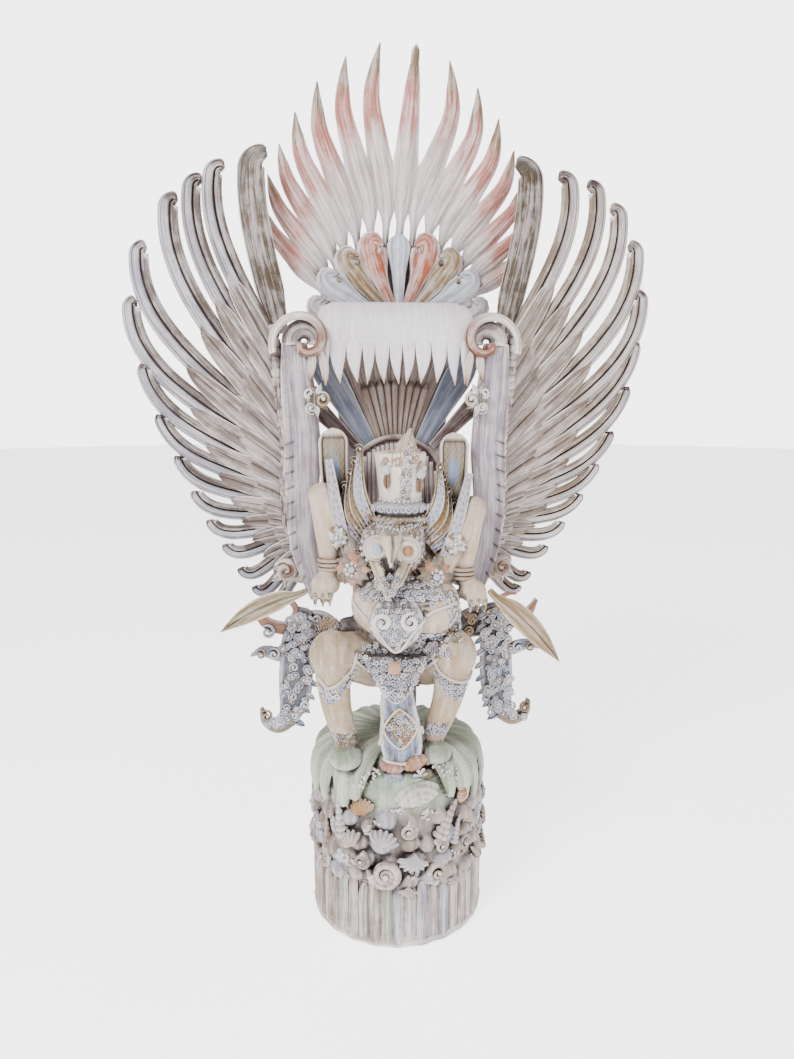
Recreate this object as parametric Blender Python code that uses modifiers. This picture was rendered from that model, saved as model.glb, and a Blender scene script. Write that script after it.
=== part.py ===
"""A carved and painted wooden garuda: the bird-man crouches on a rock of shells, cut from one trunk, with
two plugged-in wings, a flame tail, a curled inner tail, hip ornaments and hand leaves.

The statue faces -Y and stands on z = 0. Lengths are metres. A carved piece keeps its pose and its
proportions as hundredths of its own height, so its points below are written in those hundredths."""

import math

import bmesh
import bpy
from mathutils import Matrix, Vector

# The trunk: rock base and figure. A height over the ground below is worked out from these
BASE_RADIUS = 0.162
BASE_HEIGHT = 0.335
FOOT_BAND_HEIGHT = 0.108
PLANK_COUNT = 46
PLANK_GROOVE = 0.0035
FIGURE_HEIGHT = 0.571

# The block behind the figure's shoulders that the wings and tails plug into, and the boss at the hips
BLOCK_WIDTH = 0.180
BLOCK_DEPTH = 0.088
BLOCK_HEIGHT = 0.200
BLOCK_FRONT = 0.012
BLOCK_BACK = BLOCK_FRONT + BLOCK_DEPTH
BLOCK_LOW = BASE_HEIGHT + 0.324 * FIGURE_HEIGHT
BLOCK_HIGH = BLOCK_LOW + BLOCK_HEIGHT
HIP_BOSS_WIDTH = 0.216
HIP_BOSS_HEIGHT = 0.060
HIP_BOSS_DEPTH = 0.044
HIP_BOSS_Y = BLOCK_FRONT + 0.002
HIP_BOSS_Z = BLOCK_LOW + 0.010

# Joinery
SEAM = 0.0004
PEG_CLEARANCE = 0.0006
FOOT_RELIEF = 0.003
FOOT_SHARE = 0.94
MATE_REACH = 0.08
WING_TENON = Vector((0.034, 0.024, 0.070))
WING_FOOT = Vector((0.075, 0.068, 0.100))
WING_TENON_Y = (BLOCK_FRONT + BLOCK_BACK) / 2
WING_TENON_Z = BLOCK_LOW + 0.135
TAIL_TENON = Vector((0.070, 0.022, 0.040))
TAIL_TENON_Z = BLOCK_LOW + 0.080
HOOD_TENON = Vector((0.066, 0.009, 0.030))
HIP_TENON = Vector((0.026, 0.018, 0.026))
LEAF_TENON = Vector((0.010, 0.005, 0.007))

# Wings
WING_HEIGHT = 0.830
WING_FOOT_Z = BLOCK_LOW + 0.060
WING_PLANE_Y = BLOCK_BACK - 0.014
WING_SWEEP = 0.14
PRIMARY_COUNT = 15
COVERT_COUNT = 12
FEATHER_RISE = 0.0070
COVERT_RISE = 0.0150
PANEL_FRONT = BLOCK_FRONT - 0.008
PANEL_BACK = BLOCK_BACK - 0.022
SCALLOP_COUNT = 16
RIM_PLANE_Y = BLOCK_FRONT + 0.028
RIM_HALF_DEPTH = 0.026
VOLUTE_RELIEF = 0.004
VOLUTE_HALF_DEPTH = 0.013

# Flame tail
FLAME_CENTRE = Vector((0.015, BLOCK_BACK + 0.055, BLOCK_HIGH + 0.378))
FLAME_REACH = 0.502
FLAME_SPREAD = 0.285
FLAME_RING = 0.135
FLAME_COUNT = 15
FLAME_THICKNESS = 0.014
PAISLEY_COUNT = 9
PAISLEY_THICKNESS = 0.026
TAIL_BOARD_THICKNESS = 0.012
STEM_THICKNESS = 0.024

# Inner tail, which rolls forward over the head and ends in a fringe
HOOD_WIDTH = 0.274
HOOD_WALL = 0.011
HOOD_LEAN = 0.046
HOOD_ROLL_RADIUS = 0.044
HOOD_HEIGHT = 0.412
HOOD_LIP = 0.022
FRINGE_COUNT = 11
FRINGE_LENGTH = 0.074
FRINGE_ROOT = 0.004
INNER_FOOT_WIDTH = 0.160
INNER_FEATHER_COUNT = 9
INNER_FEATHER_PITCH = 6.5
INNER_FEATHER_REACH = 0.172
INNER_FEATHER_DEPTH = 0.009
DISC_RADIUS = 0.080
DISC_THICKNESS = 0.020
DISC_RISE = 0.092
DISC_FORWARD = 0.014

# Hip ornaments and hand leaves
ORNAMENT_HEIGHT = 0.250
GRIP_SIZE = Vector((0.046, 0.020, 0.018))
LEAF_HALF_WIDTHS = [0.0055, 0.006, 0.0135, 0.0145, 0.008, 0.001]
LEAF_HALF_DEPTHS = [0.0042, 0.0042, 0.004, 0.0035, 0.003, 0.002]
LEAF_SAG = Vector((0, -0.006, 0.010))
RIGHT_LEAF_REACH = Vector((-0.178, 0.046, -0.084))
LEFT_LEAF_REACH = Vector((0.163, 0.028, -0.145))

# How finely each piece is melted together, and the share of its faces that is kept
TRUNK_GRAIN, TRUNK_FACES_KEPT = 0.0050, 0.022
WING_GRAIN, WING_FACES_KEPT = 0.0029, 0.0122
TAIL_GRAIN, TAIL_FACES_KEPT = 0.0032, 0.0107
HOOD_GRAIN, HOOD_FACES_KEPT = 0.0030, 0.013
ORNAMENT_GRAIN, ORNAMENT_FACES_KEPT = 0.0023, 0.0154
LEAF_GRAIN, LEAF_FACES_KEPT = 0.001, 0.0045
FLAKE_SIZE = 0.00002

COLOURS = {
    "trunk_wood": (0.62, 0.56, 0.50),
    "wing_wood": (0.60, 0.56, 0.56),
    "tail_wood": (0.66, 0.55, 0.50),
    "hood_wood": (0.74, 0.71, 0.72),
    "ornament_wood": (0.50, 0.52, 0.58),
    "leaf_wood": (0.58, 0.52, 0.40),
}
FRONT = Vector((0, -1, 0))


def start_scene():
    """Empties the scene and makes the collection of the parts and that of their ingredients."""
    for obj in list(bpy.data.objects):
        bpy.data.objects.remove(obj)
    parts = bpy.data.collections.new("garuda_statue")
    helpers = bpy.data.collections.new("carving_helpers")
    for collection in (parts, helpers):
        bpy.context.scene.collection.children.link(collection)
    helpers.hide_render = True
    return parts, helpers


PARTS, HELPERS = start_scene()


def paint(name):
    """A Principled material in the named colour of the statue."""
    found = bpy.data.materials.get(name)
    if found:
        return found
    made = bpy.data.materials.new(name)
    made.use_nodes = True
    shader = made.node_tree.nodes["Principled BSDF"]
    shader.inputs["Base Color"].default_value = (*COLOURS[name], 1)
    shader.inputs["Roughness"].default_value = 0.75
    shader.inputs["Metallic"].default_value = 0.0
    return made


def object_of(bm, name, collection, colour=None):
    """Turns a bmesh into a named object of a collection, with its normals facing out."""
    bmesh.ops.recalc_face_normals(bm, faces=bm.faces)
    mesh = bpy.data.meshes.new(name)
    bm.to_mesh(mesh)
    bm.free()
    obj = bpy.data.objects.new(name, mesh)
    collection.objects.link(obj)
    if colour:
        mesh.materials.append(paint(colour))
    if collection is not PARTS:
        obj.hide_render = True
        obj.display_type = "WIRE"
    return obj


# Lines and bars


def hermite(u):
    """The weights of a start, its slope, the slope of the end and the end, at u between the two."""
    return 2 * u**3 - 3 * u**2 + 1, u**3 - 2 * u**2 + u, u**3 - u**2, 3 * u**2 - 2 * u**3


def through(knots, t):
    """A smooth value at t through (t, value) knots, with slopes read from the neighbouring knots."""
    places = [k[0] for k in knots]
    values = [k[1] if isinstance(k[1], Vector) else k[1] * 1.0 for k in knots]
    i = max(0, min(len(knots) - 2, sum(p <= t for p in places) - 1))
    span = places[i + 1] - places[i]
    u = (t - places[i]) / span

    def slope(j):
        low, high = max(0, j - 1), min(len(knots) - 1, j + 1)
        return (values[high] - values[low]) * (span / (places[high] - places[low]))

    start, start_slope, end_slope, end = hermite(u)
    return values[i] * start + slope(i) * start_slope + slope(i + 1) * end_slope + values[i + 1] * end


def smooth_line(points, count):
    """count points along a smooth curve through the given points, spread by their distances."""
    places = [0.0]
    for a, b in zip(points, points[1:]):
        places.append(places[-1] + (b - a).length)
    knots = list(zip(places, points))
    return [through(knots, places[-1] * n / (count - 1)) for n in range(count)]


def tangents(line):
    """The direction of a line at each of its points."""
    last = len(line) - 1
    return [(line[min(last, n + 1)] - line[max(0, n - 1)]).normalized() for n in range(last + 1)]


def bar(sides, rings):
    """A closed bar along +Z from 0 to 1 with rings of points to be shaped, two units wide and deep. Three
    sides make a ridge in front and a flat back, and four make a plank."""
    bm = bmesh.new()
    bmesh.ops.create_cone(bm, cap_ends=True, segments=sides, radius1=1, radius2=1, depth=1)
    if sides == 3:
        bmesh.ops.scale(bm, vec=(1 / math.cos(math.radians(30)), 1, 1), verts=bm.verts)
    if sides == 4:
        bmesh.ops.rotate(bm, matrix=Matrix.Rotation(math.radians(45), 3, "Z"), verts=bm.verts)
        bmesh.ops.scale(bm, vec=(math.sqrt(2), math.sqrt(2), 1), verts=bm.verts)
    bmesh.ops.translate(bm, verts=bm.verts, vec=(0, 0, 0.5))
    along = [e for e in bm.edges if abs(e.verts[0].co.z - e.verts[1].co.z) > 0.5]
    if rings > 2:
        bmesh.ops.subdivide_edges(bm, edges=along, cuts=rings - 2)
    return bm


def blade(line, half_widths, half_depths, sides=6, face=FRONT, across=None, tilt=0.0, back=1.0):
    """A bar bent along a line. Its depth runs along face, or its width along across where that is given.
    tilt raises one edge of its front over the other, and back is its depth behind the line."""
    bm = bar(sides, len(line))
    last = len(line) - 1
    directions = tangents(line)
    for v in bm.verts:
        ring = round(v.co.z * last)
        wide = across or directions[ring].cross(face).normalized()
        deep = wide.cross(directions[ring]).normalized()
        depth = v.co.y * (1 + tilt * v.co.x if v.co.y > 0 else back)
        v.co = line[ring] + wide * (v.co.x * half_widths[ring]) + deep * (depth * half_depths[ring])
    return bm


def ball(centre, radii, turn=0.0, axis="Y", segments=14, rings=9):
    """A ball stretched to its radii, turned by degrees about an axis and set at its centre."""
    bm = bmesh.new()
    bmesh.ops.create_uvsphere(bm, u_segments=segments, v_segments=rings, radius=1)
    rotation = Matrix.Rotation(math.radians(turn), 4, axis)
    size = Matrix.Diagonal((*radii, 1))
    bmesh.ops.transform(bm, matrix=Matrix.Translation(centre) @ rotation @ size, verts=bm.verts)
    return bm


def limb(points, radii, flat=1.0, sides=12):
    """A round limb through a list of points, with a round end at each of them."""
    shapes = [ball(p, (r, r * flat, r)) for p, r in zip(points, radii)]
    rings = 3 * len(points)
    line = smooth_line(points, rings)
    knots = [(n / (len(radii) - 1), r) for n, r in enumerate(radii)]
    widths = [through(knots, n / (rings - 1)) for n in range(rings)]
    shapes.append(blade(line, widths, [w * flat for w in widths], sides=sides))
    return shapes


def block(low, high):
    """A box between two corners."""
    bm = bmesh.new()
    bmesh.ops.create_cube(bm, size=1)
    bmesh.ops.scale(bm, vec=Vector(high) - Vector(low), verts=bm.verts)
    bmesh.ops.translate(bm, vec=(Vector(low) + Vector(high)) / 2, verts=bm.verts)
    return bm


def block_at(centre, size):
    """A box of a size round a centre."""
    return block(Vector(centre) - Vector(size) / 2, Vector(centre) + Vector(size) / 2)


def joined(shapes):
    """All the shapes in one bmesh, still as loose bodies."""
    whole = bmesh.new()
    for shape in shapes:
        mesh = bpy.data.meshes.new("ingredient")
        bmesh.ops.recalc_face_normals(shape, faces=shape.faces)
        shape.to_mesh(mesh)
        shape.free()
        whole.from_mesh(mesh)
        bpy.data.meshes.remove(mesh)
    return whole


def boolean(obj, operand, operation, name):
    """Adds an exact Boolean modifier with an object or a collection."""
    change = obj.modifiers.new(name, "BOOLEAN")
    change.operation = operation
    change.solver = "EXACT"
    if isinstance(operand, bpy.types.Collection):
        change.operand_type = "COLLECTION"
        change.collection = operand
    else:
        change.object = operand


def add_shapes(obj, shapes, name):
    """Unites shapes with an object. Each one overlaps the object or another shape."""
    helpers = bpy.data.collections.new(name)
    HELPERS.children.link(helpers)
    helpers.hide_render = True
    for n, shape in enumerate(shapes):
        object_of(shape, f"{name}_{n:02d}", helpers)
    boolean(obj, helpers, "UNION", name)


def cut(obj, shape, name):
    """Takes a shape out of an object."""
    boolean(obj, object_of(shape, name, HELPERS), "DIFFERENCE", name)


def biggest_body(mesh):
    """A bmesh of a mesh's biggest closed body, without the flakes that thinning its faces leaves."""
    bm = bmesh.new()
    bm.from_mesh(mesh)
    bmesh.ops.dissolve_degenerate(bm, dist=FLAKE_SIZE, edges=bm.edges)
    unseen = set(bm.verts)
    bodies = []
    while unseen:
        body = [unseen.pop()]
        for vert in body:
            near = {edge.other_vert(vert) for edge in vert.link_edges} & unseen
            unseen -= near
            body += near
        bodies.append(body)
    bodies.sort(key=len)
    for body in bodies[:-1]:
        bmesh.ops.delete(bm, geom=body, context="VERTS")
    bmesh.ops.holes_fill(bm, edges=[e for e in bm.edges if e.is_boundary], sides=0)
    bmesh.ops.triangulate(bm, faces=bm.faces)
    return bm


def carved(name, shapes, fittings, colour, grain, kept, mate=None):
    """One solid: shapes that overlap, melted together at a grain and thinned to a share of their faces, then
    trimmed flat where they meet the block of their mate, and its fittings, which stay exact."""
    block_out = object_of(joined(shapes), name + "_block_out", HELPERS)
    melt = block_out.modifiers.new("melt_together", "REMESH")
    melt.mode = "VOXEL"
    melt.voxel_size = grain
    fewer = block_out.modifiers.new("fewer_faces", "DECIMATE")
    fewer.decimate_type = "COLLAPSE"
    fewer.ratio = kept
    evaluated = block_out.evaluated_get(bpy.context.evaluated_depsgraph_get())
    piece = object_of(biggest_body(evaluated.to_mesh()), name, PARTS, colour)
    evaluated.to_mesh_clear()
    if mate:
        cut(piece, mate, name + "_mate")
    if fittings:
        add_shapes(piece, fittings, name + "_fittings")
    return piece


def tenon_into(face_x, size, y, z, side):
    """A tenon that reaches inwards from a side face at face_x, and the mortise that holds it."""
    overlap = size.x * 0.3
    reach = size.x + overlap
    centre = (side * (face_x + SEAM - size.x + reach / 2), y, z)
    tenon = block_at(centre, (reach, size.y, size.z))
    room = Vector((size.x * 1.1 + 2 * PEG_CLEARANCE, size.y + 2 * PEG_CLEARANCE, size.z + 2 * PEG_CLEARANCE))
    mortise = block_at((side * (face_x - size.x / 2 + PEG_CLEARANCE), y, z), room)
    return tenon, mortise


def inside_of(point):
    """A block that fills the space between the middle of the statue and a seam in one of its sides."""
    return block_at((point.x / 2, point.y, point.z), (abs(point.x), 2 * MATE_REACH, 2 * MATE_REACH))


# Wings, in hundredths of the wing's height from its foot: out from the block, up, and forward

SPINE = [(8.8, 7.6), (11.2, 12.7), (12.9, 19.3), (13.4, 25.5), (13.0, 32.0), (13.2, 40.0)]
SPINE += [(14.2, 47.5), (15.0, 60.0)]
ROOTS = [(0, (14.0, 60.0)), (2, (14.0, 46.4)), (4, (13.2, 34.8)), (7, (13.0, 24.0))]
ROOTS += [(10, (12.0, 16.0)), (14, (8.8, 7.2))]
RIGHT_TIPS = [(16.4, 98.8), (25.2, 96.0), (30.1, 93.3), (35.5, 89.6), (42.6, 79.9)]
RIGHT_TIPS += [(45.5, 68.5), (44.2, 54.4), (41.4, 43.3), (37.9, 34.0), (34.6, 26.0)]
RIGHT_TIPS += [(31.5, 19.3), (28.2, 13.6), (24.9, 8.0), (21.8, 3.6), (19.0, 0.5)]
LEFT_TIPS = [(16.7, 97.8), (26.4, 95.4), (33.3, 93.9), (39.0, 89.3), (43.7, 81.6)]
LEFT_TIPS += [(46.1, 71.0), (46.1, 59.9), (44.6, 49.5), (41.3, 39.1), (38.1, 31.4)]
LEFT_TIPS += [(34.5, 24.3), (30.2, 17.7), (26.3, 12.0), (22.2, 5.8), (20.0, 2.5)]
TIPS = {-1: list(enumerate(RIGHT_TIPS)), 1: list(enumerate(LEFT_TIPS))}
ROOT_ANGLE = [(0, 80), (1, 68), (2, 63), (3, 57), (4, 50), (5, 43), (7, 34), (10, 26), (14, 20)]
TIP_ANGLE = [(0, 94), (1, 100), (3, 97), (5, 92), (6, 78), (8, 66), (10, 56), (14, 42)]
HOOK_TURN = [(0, 105), (3, 100), (5, 75), (7, 45), (14, 30)]
HOOK_RADIUS = [(0, 2.6), (1, 1.8), (4, 1.5), (6, 1.4), (14, 1.1)]
FEATHER_HALF_WIDTH = [(0, 3.1), (1, 2.3), (2, 2.3), (3, 2.7), (4, 2.5), (5, 2.4), (6, 1.9)]
FEATHER_HALF_WIDTH += [(8, 1.5), (14, 1.2)]
FEATHER_TAPER = [(0, 1.0), (0.35, 1.0), (0.55, 0.8), (0.8, 0.66), (0.92, 0.6), (1, 0.35)]
PANEL_LINE = [(6.6, 2.5), (9.3, 14), (9.6, 26), (9.2, 36), (10.0, 48), (10.6, 57.5)]
PANEL_HALF_WIDTHS = [1.69, 2.65, 3.25, 3.61, 3.86, 3.73, 3.49, 2.65]
VOLUTE_CENTRE = (10.4, 58.6)
VOLUTE_RADII = (4.7, 1.7)
VOLUTE_START, VOLUTE_TURN = -14, 390
VOLUTE_HALF_WIDTHS = (1.27, 0.94)
VOLUTE_RINGS = 10
SCALLOP_HALF_WIDTHS = (0.6, 1.02)
FLOWER_PLACE = (6.2, 45.8, 9.4)
FLOWER_RADII = (2.4, 1.9, 2.8)
COVERT_START, COVERT_END = 1.2, 13.6
COVERT_SHARE = 0.52
SHAFT_RINGS = 4
HOOK_RINGS = 3
NEIGHBOUR_SHARE = 0.58
SWEEP_START = 10.84
SHINGLE_TILT = 0.35
COVERT_TILT = 0.16


def pair_through(knots, t):
    """A smooth point (x, z) through knots of points."""
    return Vector([through([(k, point[axis]) for k, point in knots], t) for axis in (0, 1)])


def wing_point(side, out, up, forward=0.0):
    """A point of the wing's face, which sweeps back outside the panel."""
    sweep = WING_SWEEP * max(0.0, out - SWEEP_START)
    x, y, z = Vector((out, sweep - forward, up)) * WING_HEIGHT / 100
    return Vector((side * (BLOCK_WIDTH / 2 + x), WING_PLANE_Y + y, WING_FOOT_Z + z))


def of_wing(hundredths):
    """Lengths of the wing from hundredths of its height."""
    return [n * WING_HEIGHT / 100 for n in hundredths]


def hook_neck(side, i):
    """Where feather i's shaft ends and its hook starts, and the shaft's direction there."""
    end = math.radians(through(TIP_ANGLE, i))
    up = Vector((math.cos(end), math.sin(end)))
    inwards = Vector((-up.y, up.x))
    radius = through(HOOK_RADIUS, i)
    turn = math.radians(min(90, through(HOOK_TURN, i)))
    top = pair_through(TIPS[side], i) - up * 0.6 * through(FEATHER_HALF_WIDTH, i)
    return top - up * radius * math.sin(turn) - inwards * radius * (1 - math.cos(turn)), up, inwards, radius


def shaft_point(side, i, u):
    """A point (out, up) on the middle of feather i, u of the way from the spine to its hook."""
    root = pair_through(ROOTS, i)
    neck, up = hook_neck(side, i)[:2]
    angle = math.radians(through(ROOT_ANGLE, i))
    pull = (neck - root).length
    out = Vector((math.cos(angle), math.sin(angle)))
    start, start_slope, end_slope, end = hermite(u)
    return root * start + out * pull * start_slope + up * pull * end_slope + neck * end


def hook_points(side, i):
    """The points (out, up) of the hook that ends feather i, which turns in towards the head."""
    neck, up, inwards, radius = hook_neck(side, i)
    turn = math.radians(through(HOOK_TURN, i))
    angles = [turn * n / HOOK_RINGS for n in range(1, HOOK_RINGS + 1)]
    return [neck + up * radius * math.sin(a) + inwards * radius * (1 - math.cos(a)) for a in angles]


def spacing(side, i, u):
    """How far the further of feather i's neighbours lies from it, u of the way out."""
    here = shaft_point(side, i, u)
    nearest = []
    for j in (i - 1, i + 1):
        if 0 <= j <= PRIMARY_COUNT - 1:
            nearest.append(min((shaft_point(side, j, n / 16) - here).length for n in range(17)))
    return max(nearest)


def feather(side, i, reach=1.0, rise=FEATHER_RISE, tilt=SHINGLE_TILT, back=0.7, spread=1.0):
    """One feather, which lies over its neighbour like a shingle. Where its neighbours are near, it is as
    wide as the space between them. A reach under 1 gives a covert, which ends in a point before the hook."""
    rings = SHAFT_RINGS if reach == 1.0 else SHAFT_RINGS - 1
    steps = [reach * n / rings for n in range(rings + 1)]
    flat = [shaft_point(side, i, u) for u in steps]
    full = through(FEATHER_HALF_WIDTH, i) * spread
    halves = [full] * len(steps)
    if reach == 1.0:
        flat += hook_points(side, i)
        halves += [full] * HOOK_RINGS
        last = len(flat) - 1
        halves = [h * through(FEATHER_TAPER, n / last) for n, h in enumerate(halves)]
    else:
        halves[-1] = 0.25
    for n, u in enumerate(steps):
        halves[n] = min(halves[n], spacing(side, i, u) * NEIGHBOUR_SHARE * spread)
    line = [wing_point(side, p.x, p.y, 0.1 * (round(i) % 2)) for p in flat]
    return blade(line, of_wing(halves), [rise] * len(line), sides=4, tilt=side * tilt, back=back)


def panel(side):
    """The thick plain panel between the coverts and the head."""
    forward = (WING_PLANE_Y - (PANEL_FRONT + PANEL_BACK) / 2) * 100 / WING_HEIGHT
    points = [wing_point(side, out, up, forward) for out, up in PANEL_LINE]
    line = smooth_line(points, len(PANEL_HALF_WIDTHS))
    depth = (PANEL_BACK - PANEL_FRONT) / 2
    return blade(line, of_wing(PANEL_HALF_WIDTHS), [depth] * len(line), sides=4)


def volute(side):
    """The scroll on top of the panel, which curls in towards the head."""
    points, halves = [], []
    forward = (WING_PLANE_Y - PANEL_FRONT + VOLUTE_RELIEF) * 100 / WING_HEIGHT
    for n in range(VOLUTE_RINGS):
        share = n / (VOLUTE_RINGS - 1)
        angle = math.radians(VOLUTE_START + VOLUTE_TURN * share)
        radius = VOLUTE_RADII[0] + (VOLUTE_RADII[1] - VOLUTE_RADII[0]) * share
        out, up = VOLUTE_CENTRE[0] + radius * math.cos(angle), VOLUTE_CENTRE[1] + radius * math.sin(angle)
        points.append(wing_point(side, out, up, forward))
        halves.append(VOLUTE_HALF_WIDTHS[0] + (VOLUTE_HALF_WIDTHS[1] - VOLUTE_HALF_WIDTHS[0]) * share)
    return blade(points, of_wing(halves), [VOLUTE_HALF_DEPTH] * VOLUTE_RINGS, sides=4)


def scallops(side):
    """The scalloped rim between the coverts and the panel."""
    rings = 2 * SCALLOP_COUNT + 1
    forward = (WING_PLANE_Y - RIM_PLANE_Y) * 100 / WING_HEIGHT
    line = smooth_line([wing_point(side, out, up, forward) for out, up in SPINE], rings)
    halves = [SCALLOP_HALF_WIDTHS[n % 2] for n in range(rings)]
    return blade(line, of_wing(halves), [RIM_HALF_DEPTH] * rings, sides=4)


def wing(side, name):
    """One wing, and the mortise that its tenon needs."""
    face = BLOCK_WIDTH / 2
    foot = block_at((side * (face + SEAM + WING_FOOT.x / 2), WING_TENON_Y, WING_TENON_Z), WING_FOOT)
    shapes = [panel(side), volute(side), scallops(side)]
    shapes += [feather(side, i) for i in range(PRIMARY_COUNT)]
    for n in range(COVERT_COUNT):
        place = COVERT_START + n * (COVERT_END - COVERT_START) / COVERT_COUNT
        shapes.append(feather(side, place, COVERT_SHARE, COVERT_RISE, COVERT_TILT, back=0.2, spread=1.1))
    shapes.append(ball(wing_point(side, *FLOWER_PLACE), of_wing(FLOWER_RADII), segments=10, rings=7))
    tenon, mortise = tenon_into(face, WING_TENON, WING_TENON_Y, WING_TENON_Z, side)
    return carved(name, shapes, [foot, tenon], "wing_wood", WING_GRAIN, WING_FACES_KEPT), mortise


# Flame tail

# Half widths in hundredths of the fan's reach, and bends in shares of a flame's own length
FLAME_HALF_WIDTH = [(0, 1.59), (0.1, 1.69), (0.22, 4.98), (0.34, 5.18), (0.5, 4.28), (0.68, 3.39)]
FLAME_HALF_WIDTH += [(0.85, 2.29), (1, 0.30)]
FLAME_BEND = [(0, 0), (0.25, -0.012), (0.5, 0.022), (0.74, 0.05), (0.9, 0.026), (1, 0)]
FLAME_RINGS = 9
FULL_FLAME = 0.60
FLAME_ROOT_PITCH = 10.5
FLAME_TIP_PITCH, FLAME_TIP_LEAN = 7.6, 3.9
PAISLEY_PITCH = 21.0
PAISLEY_RADII = [0.37, 0.63, 0.874, 1.037, 1.126, 1.089]
PAISLEY_TURNS = [0, 1.5, 1.0, 0, 5, 11]
PAISLEY_HALF_WIDTHS = [0.044, 0.104, 0.163, 0.178, 0.119, 0.037]
STEM_HALF_WIDTHS = [0.045, 0.048, 0.052, 0.058, 0.066, 0.076, 0.086, 0.090]


def round_the_fan(degrees, radius, forward=0.0):
    """A point of the fan's plane at an angle from straight up, and at a radius from the fan's centre."""
    a = math.radians(degrees)
    return FLAME_CENTRE + Vector((math.sin(a) * radius, -forward, math.cos(a) * radius))


def flame(k):
    """Flame k of the fan, counted from the middle one. The tips swing away from the middle."""
    lean = FLAME_TIP_PITCH * k + FLAME_TIP_LEAN
    a = math.radians(lean)
    tip_radius = 1 / math.hypot(math.sin(a) / FLAME_SPREAD, math.cos(a) / FLAME_REACH)
    root, tip = round_the_fan(FLAME_ROOT_PITCH * k, FLAME_RING), round_the_fan(lean, tip_radius)
    chord = tip - root
    inwards = FRONT.cross(chord).normalized() * (1 if k > 0 else -1)
    bend = 1.3 if k > 0 else 1.0 if k < 0 else 0.0
    steps = [n / (FLAME_RINGS - 1) for n in range(FLAME_RINGS)]
    line = [root + chord * t - inwards * chord.length * bend * through(FLAME_BEND, t) for t in steps]
    slim = min(1.0, chord.length / (FLAME_REACH * FULL_FLAME))
    widths = [through(FLAME_HALF_WIDTH, t) * FLAME_REACH / 100 * (0.35 + 0.65 * slim) for t in steps]
    lift = Vector((0, 0.0012 * (k % 2), 0))
    return blade([p + lift for p in line], widths, [FLAME_THICKNESS / 1.5] * FLAME_RINGS, sides=3)


def paisley(k):
    """Paisley k of the row in front of the flames' roots, in shares of the ring's radius."""
    curl = -1 if k > 0 else 1
    line = []
    for turn, radius in zip(PAISLEY_TURNS, PAISLEY_RADII):
        lean = PAISLEY_PITCH * k + curl * turn
        line.append(round_the_fan(lean, radius * FLAME_RING, PAISLEY_THICKNESS / 2))
    widths = [n * FLAME_RING for n in PAISLEY_HALF_WIDTHS]
    return blade(line, widths, [PAISLEY_THICKNESS * (0.50 + 0.04 * (k % 2))] * len(line), sides=6)


def tail_flames():
    """The flame fan on its round board and stem, and the mortise of its tenon."""
    half = PAISLEY_COUNT // 2
    middle = FLAME_COUNT // 2
    board = bmesh.new()
    bmesh.ops.create_cone(board, cap_ends=True, segments=28, radius1=1, radius2=1, depth=1)
    size = Matrix.Diagonal((FLAME_RING + 0.006, FLAME_RING + 0.006, TAIL_BOARD_THICKNESS, 1))
    place = Matrix.Translation(FLAME_CENTRE) @ Matrix.Rotation(math.radians(90), 4, "X") @ size
    bmesh.ops.transform(board, matrix=place, verts=board.verts)
    back = BLOCK_BACK + SEAM
    thick = STEM_THICKNESS / 2
    away = FLAME_CENTRE - Vector((0, back + thick, TAIL_TENON_Z))
    corners = [Vector((0, back + FOOT_RELIEF + thick, TAIL_TENON_Z - 0.05))]
    corners.append(corners[0] + Vector((0, 0.002, away.z * 0.4)))
    corners.append(FLAME_CENTRE - Vector((away.x, away.y * 0.8, away.z * 0.4)))
    stem = smooth_line(corners + [FLAME_CENTRE], len(STEM_HALF_WIDTHS))
    shapes = [board, blade(stem, STEM_HALF_WIDTHS, [thick] * len(stem), sides=4, across=Vector((1, 0, 0)))]
    shapes += [flame(k) for k in range(-middle, middle + 1)]
    shapes += [paisley(k) for k in range(-half, half + 1)]
    size = TAIL_TENON
    foot = block_at((0, back + thick / 2, TAIL_TENON_Z), (size.x, thick, size.z * 2))
    into_block = back - size.y / 2 + FOOT_RELIEF / 2
    tenon = block_at((0, into_block, TAIL_TENON_Z), (size.x, size.y + FOOT_RELIEF, size.z))
    room = size + Vector((2, 2, 2)) * PEG_CLEARANCE
    mortise = block(
        (-room.x / 2, back - room.y, TAIL_TENON_Z - room.z / 2),
        (room.x / 2, back + size.y, TAIL_TENON_Z + room.z / 2),
    )
    return carved("tail_flames", shapes, [foot, tenon], "tail_wood", TAIL_GRAIN, TAIL_FACES_KEPT), mortise


# Inner tail

# Half widths of the sheet, as shares of the way from its foot's width to the hood's
SHEET_WIDENING = [0, 0.21, 0.56, 0.81]


def hood_line():
    """The middle of the sheet from its foot, up, over the roll and down to the fringe, at x = 0."""
    foot_y = (BLOCK_FRONT + BLOCK_BACK) / 2
    top = BLOCK_HIGH + HOOD_HEIGHT - HOOD_WALL / 2
    centre = Vector((0, foot_y + HOOD_LEAN - HOOD_ROLL_RADIUS, top - HOOD_ROLL_RADIUS))
    points = [Vector((0, foot_y, BLOCK_HIGH + SEAM + FOOT_RELIEF))]
    points.append(Vector((0, foot_y + HOOD_LEAN * 0.5, BLOCK_HIGH + HOOD_HEIGHT * 0.315)))
    points.append(Vector((0, foot_y + HOOD_LEAN, BLOCK_HIGH + HOOD_HEIGHT * 0.71)))
    for degrees in (0, 30, 60, 90, 120, 150, 180):
        a = math.radians(degrees)
        points.append(centre + Vector((0, math.cos(a), math.sin(a))) * HOOD_ROLL_RADIUS)
    points.append(points[-1] - Vector((0, 0, HOOD_LIP)))
    return points


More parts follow.
